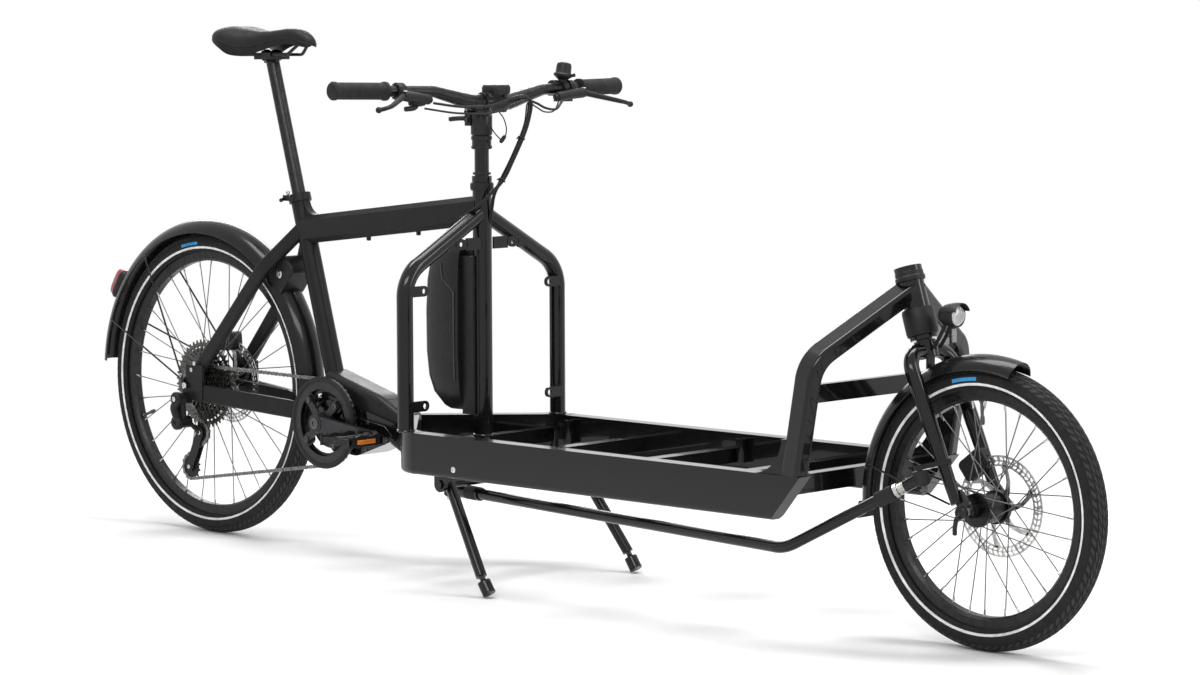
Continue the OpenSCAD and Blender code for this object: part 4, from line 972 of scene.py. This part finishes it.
# The rear light's steps: distance from the axle, half its width and half its height
LIGHT_BASE = ((352, 14, 25), (357, 17, 32), (364, 18, 35), (369, 17, 34), (371, 14, 31))
LIGHT_LENS = ((368, 16.5, 33), (378, 16, 32.5), (383, 13, 29), (385, 8, 23))


def rear_light_form(steps):
    out = polar(ORIGIN, 1, REAR_LIGHT_TURN)
    return Shape().loft([laid(rounded(half_wide, half_tall, 0.5, 32),
                              polar(REAR_GUARD, reach, REAR_LIGHT_TURN), Y, out.cross(Y), 0)
                         for reach, half_wide, half_tall in steps])


def dress_rear_light():
    made = rear_light_form(LIGHT_BASE).piece("rear_light_housing", PLASTIC, "frame", "matte_plastic")
    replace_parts(made, "rear_light")
    rear_light_form(LIGHT_LENS).piece("rear_light_lens", RED, "frame", "red_lens")


# Steering rod, frame fittings, fork, mudguards and stand
def dress_rod():
    rear = vec(COLUMN_X, -ROD_ARM * cos(HEAD_TILT), 178)
    bend = vec(1792, -192, 170)
    front = on_head(306) - Y * ROD_ARM
    bright, dark = Shape(), Shape()
    for end, way in ((rear, (bend - rear).normalized()), (front, (bend - front).normalized())):
        thread = [(11.6 if k % 2 else 10.8, k) for k in range(13)]
        bright.lathe(end + way * 34, way, thread, 20)
        nut(bright, end + way * 47, way, 12.6, 8)
        dark.lathe(end + way * 56, way, [(10.8, 0), (13.8, 1), (13.8, 34), (10.8, 36)], 28)
    nut(bright, rear - Z * 21, Z, 9, 7)
    bright.piece("tie_rod_nuts", SILVER, "tie_rod", "steel")
    stud = Shape()
    nut(stud, front - HEAD_UP * 24, HEAD_UP, 8, 6)
    stud.lathe(front - HEAD_UP * 27, HEAD_UP, [(3.6, 0), (4.4, 1), (4.4, 12)], 16)
    stud.piece("fork_stud_nut", DARK_STEEL, "fork", "steel")
    for end, up in ((rear, Z), (front, HEAD_UP)):
        dark.lathe(end - up * 11, up, [(10, -3), (13.6, 0), (14, 8), (14, 14), (13.6, 22)], 28)
    dark.piece("tie_rod_boots", RUBBER, "tie_rod", "grip_rubber")


def weld(shape, at, axis, r, bead=2.6):
    """A ring of overlapping beads round a tube's foot."""
    u, v = across(axis)
    count = max(14, round(2 * pi * r / 6)) * 3
    path = hoop(Vector(at), u, v, r, count)
    radii = [bead * (0.8 if k % 3 else 1.0) for k in range(count + 1)]
    shape.sweep(path + path[:1], radii, 8)


def dress_frame_details():
    welds = Shape()
    for sign in (-1, 1):
        weld(welds, (COLUMN_X, sign * 211, 305), Z, 16)
    weld(welds, (COLUMN_X, 0, 279), Z, 19.4)
    weld(welds, on_head(560), HEAD_UP, 23.2, 1.4)
    welds.piece("frame_welds", GLOSS, "frame", "gloss_paint")
    bright = Shape()
    for sign in (-1, 1):
        bolt(bright, (985, sign * 225.6, 242), Y * sign, 6, 2.4)
        for x, z in ((28, 374), (18, 360), (-18, 346), (-20, 306)):
            bolt(bright, (x, sign * 79.2, z), Y * sign, 4.5, 2.5)
    bolt(bright, (262, -11, 745), -Y, 5, 3)
    bright.piece("frame_bolts", SILVER, "frame", "steel")
    plates = Shape()
    for sign in (-1, 1):
        tab_at = vec(COLUMN_X + 13, sign * 17, 662)
        eye_at = tab_at + Y * sign * 54
        plates.prism([(0, -12), (40, -12), (40, 12), (0, 12)], tab_at, Y * sign, Z, 4)
        plates.band([(17 * cos(a), 11 * sin(a)) for a in turns(24)], circle(5, 24), eye_at, Y * sign, Z, 4)
        plates.prism([(68, -12), (84, -12), (96, 2), (84, 12), (68, 12)], tab_at, Y * sign, Z, 4)
        plates.prism([(-12, 0), (12, 0), (12, 44), (-12, 44)], vec(1777, sign * 120, 302), Y, Z, 4)
        arc = span(0, radians(88), 12)
        plates.prism([(66 * sin(a), 66 - 66 * cos(a)) for a in arc] + [(76, 64), (76, 0)],
                     vec(1743, sign * 210, 303.8), X, Z, 22)
    for x, z in ((500, 661), (650, 677.5)):
        plates.lathe((x, 0, z), -Z, [(4.5, -4), (5, 1), (5, 6), (3.5, 8)], 14)
    plates.piece("frame_bracket_plates", GLOSS, "frame", "gloss_paint", 0.8)
    caps = Shape()
    caps.lathe(on_head(542), HEAD_UP,
               [(24.9, 0), (28, 2), (29.2, 8), (29.2, 44), (27.5, 49), (24.9, 50)], 40)
    caps.lathe(on_head(636), HEAD_UP,
               [(25, 0), (27, 2), (27, 8), (25.4, 10), (25.4, 17), (23, 20), (12, 21), (11, 19)], 40)
    caps.lathe((COLUMN_X, 0, 768), Z, [(19.4, 0), (23.4, 1), (23.4, 12), (20, 14)], 40)
    caps.piece("headset_caps", PLASTIC, "frame", "matte_plastic")
    lever = Shape()
    lever.sweep(smooth([(258, 12, 734), (250, 5, 735), (249, -12, 732), (254, -25, 729)]), 4.2, 10)
    clamp = vec(201, 0, 1032)
    lever.lathe(clamp - Y * 24, Y, [(5, 0), (11, 2), (13, 8), (13, 15), (10, 18), (10, 30), (13, 33),
                                    (13, 40), (11, 46), (5, 48)], 28)
    for step in (-17, 17):
        lever.lathe(clamp + X * step - Z * 16, Z, [(3, 0), (5, 1), (5, 9), (3.5, 10), (3.5, 22)], 14)
    lever.piece("seat_clamp_lever", ALLOY, "frame", "black_alloy")


def guard_shell(centre, r, arc, start, stop):
    """A mudguard with an arched section and rolled edges, swept round an axle."""
    shell = Shape()
    angles = span(radians(-78), radians(78), 20)
    bends = span(start, stop, 90)
    hub = r - arc
    shell.loft([[polar(centre, hub + out, turn, y) for out, y in skin(angles, arc, 1.6)] for turn in bends])
    edge = angles[-1]
    for sign in (-1, 1):
        y = sign * (arc - 0.8) * sin(edge)
        shell.sweep([polar(centre, hub + arc * cos(edge), turn, y) for turn in bends], 1.5, 8)
    return shell


def dress_fork():
    lever = Shape()
    end = FRONT_AXLE - Y * 67
    lever.lathe(end + Y * 2, -Y, [(10, 0), (11, 3), (11, 12), (8, 14)], 24)
    lever.sweep(smooth(from_point(end, (0, -8, 0), (-3, -15, -10), (-8, -13, -26), (-12, -8, -38))), 4.2, 10)
    lever.piece("axle_lever", ALLOY, "fork", "black_alloy")
    bolts = Shape()
    for turn in (118, 138):
        bolt(bolts, polar(FRONT_AXLE, 92, turn, 50.5), Y, 4.5, 3)
    bolt(bolts, on_head(528) + X * 20, X, 5, 4)
    bolts.piece("fork_bolts", SILVER, "fork", "steel")
    flap = Shape()
    flap.prism([(-30, 8), (30, 8), (34, -16), (26, -24), (-26, -24), (-34, -16)],
               polar(FRONT_AXLE, 264, 183.5), Y, (Z + X * 0.2).normalized(), 2.2)
    flap.piece("front_mud_flap", RUBBER, "fork", "matte_plastic")
    guard = guard_shell(FRONT_AXLE, 270, 33, 74, 184)
    for sign in (-1, 1):
        foot = FRONT_AXLE + vec(-38, sign * 57, 10)
        guard.sweep([polar(FRONT_AXLE, 245, 166, sign * 33), foot], 2, 8)
    guard.prism(oblong(10, 14), vec(1964, 0, 498), Y, Z, 4)
    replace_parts(guard.piece("front_mudguard_shell", GUARD, "fork", "matte_plastic"), "front_mudguard")


def dress_rear_guard():
    guard = guard_shell(REAR_GUARD, 354, 35, 0, 175)
    for sign in (-1, 1):
        eyelet = vec(-8, sign * 82, REAR_R + 10)
        guard.lathe(eyelet - Y * 3, Y, [(3, 0), (5, 0.5), (5, 5.5), (3, 6)], 16)
        for turn in (124, 158):
            guard.sweep([polar(REAR_GUARD, 327, turn, sign * 35), eyelet], 2, 8)
    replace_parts(guard.piece("rear_mudguard_shell", GUARD, "frame", "matte_plastic"), "rear_mudguard")


def dress_stand():
    joint = joints["stand_fold"]["pos_m"]
    pivot = vec((joint[0] - REAR_AXLE_X) * 1000, 0, joint[2] * 1000)
    lean = acos(pivot.z / hypot(LEG_LENGTH, FOOT_R)) + atan(FOOT_R / LEG_LENGTH)
    down = vec(sin(lean), 0, -cos(lean))
    profile = [(9, 212.5), (13.2, 213.5)]
    for k in range(5):
        rib = 215 + 4.4 * k
        profile += [(13.2, rib), (12.4, rib + 1.4), (12.4, rib + 3), (13.2, rib + 4.2)]
    profile += [(13, 239.2), (8, 239.6)]
    thread = [(5, 196)] + [(5.2 if k % 2 else 5.9, 198 + k * 1.2) for k in range(12)]
    feet, studs = Shape(), Shape()
    for sign in (-1, 1):
        root = pivot + Y * sign * 205
        feet.lathe(root, down, profile, 28)
        studs.lathe(root, down, thread, 16)
    feet.piece("stand_rubber_feet", RUBBER, "stand", "grip_rubber")
    studs.piece("stand_studs", DARK_STEEL, "stand", "steel")
    bumpers = Shape()
    for sign in (-1, 1):
        bumpers.lathe((790, sign * 150, 224), -Z, [(9, 0), (11, 4), (10, 9), (5, 12)], 20)
    bumpers.piece("stand_bumpers", RUBBER, "frame", "grip_rubber")


# Stage: pale floor, soft light and the photograph's camera
CAMERA_AT = (5583.6, -4603.8, 1064.9)
CAMERA_AZIMUTH, CAMERA_ELEVATION, CAMERA_ROLL = 43.866, 5.125, -0.199
FOCAL_PX, PHOTO_W, SENSOR_MM = 3331.3, 1200, 36.0
FLOOR_HALF, FLOOR_Z = 14, -0.001
FADE_START, FADE_END = 1.5, 2.9
WORLD_LIGHT, WORLD_SEEN = 0.28, 1.0


def add_camera():
    data = bpy.data.cameras.new("camera")
    data.sensor_width = SENSOR_MM
    data.lens = FOCAL_PX / PHOTO_W * SENSOR_MM
    data.clip_end = 100
    camera = add_object("camera", data)
    az, el = radians(CAMERA_AZIMUTH), radians(CAMERA_ELEVATION)
    look = vec(-sin(az) * cos(el), cos(az) * cos(el), -sin(el))
    turn = look.to_track_quat("-Z", "Y").to_matrix() @ Matrix.Rotation(radians(CAMERA_ROLL), 3, "Z")
    camera.matrix_world = Matrix.Translation(place(CAMERA_AT)) @ turn.to_4x4()
    bpy.context.scene.camera = camera


def add_light(name, at, target, size, power):
    data = bpy.data.lights.new(name, "AREA")
    data.shape = "RECTANGLE"
    data.size, data.size_y = size
    data.energy = power
    light = add_object(name, data)
    light.location = at
    light.rotation_euler = (Vector(target) - Vector(at)).to_track_quat("-Z", "Y").to_euler()


def seen_directly(tree):
    """One for rays from the camera, from mirrors and through glass, and nought for the rest."""
    path = tree.nodes.new("ShaderNodeLightPath")
    seen = path.outputs["Is Camera Ray"]
    for other in ("Is Glossy Ray", "Is Transmission Ray"):
        most = tree.nodes.new("ShaderNodeMath")
        most.operation = "MAXIMUM"
        tree.links.new(seen, most.inputs[0])
        tree.links.new(path.outputs[other], most.inputs[1])
        seen = most.outputs["Value"]
    return seen


def floor_finish():
    """A pale floor that takes the shadow and goes over into the white background."""
    finish = Finish("pale_floor", (0.93, 0.93, 0.93), 0.9)
    finish.vary_color(3, 0.99, 1.01)
    reach = finish.node("ShaderNodeVectorMath", operation="LENGTH")
    finish.link(finish.place, reach.inputs[0])
    fade = fill(finish.node("ShaderNodeMapRange", interpolation_type="SMOOTHSTEP"),
                From_Min=FADE_START, From_Max=FADE_END)
    finish.link(reach.outputs["Value"], fade.inputs["Value"])
    share = finish.node("ShaderNodeMath", operation="MULTIPLY")
    finish.link(fade.outputs["Result"], share.inputs[0])
    finish.link(seen_directly(finish.tree), share.inputs[1])
    white = finish.node("ShaderNodeEmission")
    mix = finish.node("ShaderNodeMixShader")
    finish.link(share.outputs["Value"], mix.inputs["Fac"])
    finish.link(finish.shader.outputs["BSDF"], mix.inputs[1])
    finish.link(white.outputs["Emission"], mix.inputs[2])
    finish.link(mix.outputs["Shader"], finish.tree.nodes["Material Output"].inputs["Surface"])
    return finish.material


def add_stage():
    mesh = bpy.data.meshes.new("floor")
    mesh.from_pydata([(x, y, FLOOR_Z) for x, y in oblong(FLOOR_HALF, FLOOR_HALF)], [], [(0, 1, 2, 3)])
    floor = add_object("floor", mesh)
    mesh.materials.append(floor_finish())
    world = bpy.data.worlds.new("studio")
    bpy.context.scene.world = world
    world.use_nodes = True
    tree = world.node_tree
    background = tree.nodes["Background"]
    fill(background, Color=(1, 1, 1, 1))
    strength = fill(tree.nodes.new("ShaderNodeMapRange"), To_Min=WORLD_LIGHT, To_Max=WORLD_SEEN)
    tree.links.new(seen_directly(tree), strength.inputs["Value"])
    tree.links.new(strength.outputs["Result"], background.inputs["Strength"])
    add_light("key", (2.2, -3.6, 3.4), (0, 0, 0.4), (3.0, 1.2), 90)
    add_light("side", (4.6, 1.8, 2.2), (0.4, 0, 0.5), (1.0, 3.0), 60)
    add_light("top", (-0.2, 0.2, 4.2), (0, 0, 0.4), (4.2, 1.4), 180)
    add_light("back", (-3.6, 2.8, 2.4), (-0.2, 0, 0.6), (2.6, 1.2), 60)
    bpy.context.scene.view_settings.view_transform = "Standard"


add_camera()
dress_hoses()
dress_frame()
dress_tyre("front_tyre", "front_wheel", FRONT_AXLE, FRONT_R, 92)
dress_tyre("rear_tyre", "rear_wheel", REAR_AXLE, REAR_R, 95)
dress_wheel("front_wheel", FRONT_AXLE, FRONT_BEAD, 94)
dress_wheel("rear_wheel", REAR_AXLE, REAR_BEAD, 200)
dress_rotor("front_disc", "front_rotor", "front_wheel", FRONT_AXLE, 40)
dress_rotor("rear_disc", "rear_rotor", "rear_wheel", REAR_AXLE, 46)
dress_cassette()
dress_chainring()
dress_chain()
dress_pedals()
dress_derailleur()
dress_motor()
dress_battery()
dress_lock()
dress_grips()
dress_levers()
dress_bell()
dress_stem()
dress_saddle()
dress_headlight()
dress_rear_light()
dress_rod()
dress_frame_details()
dress_fork()
dress_rear_guard()
dress_stand()
add_stage()
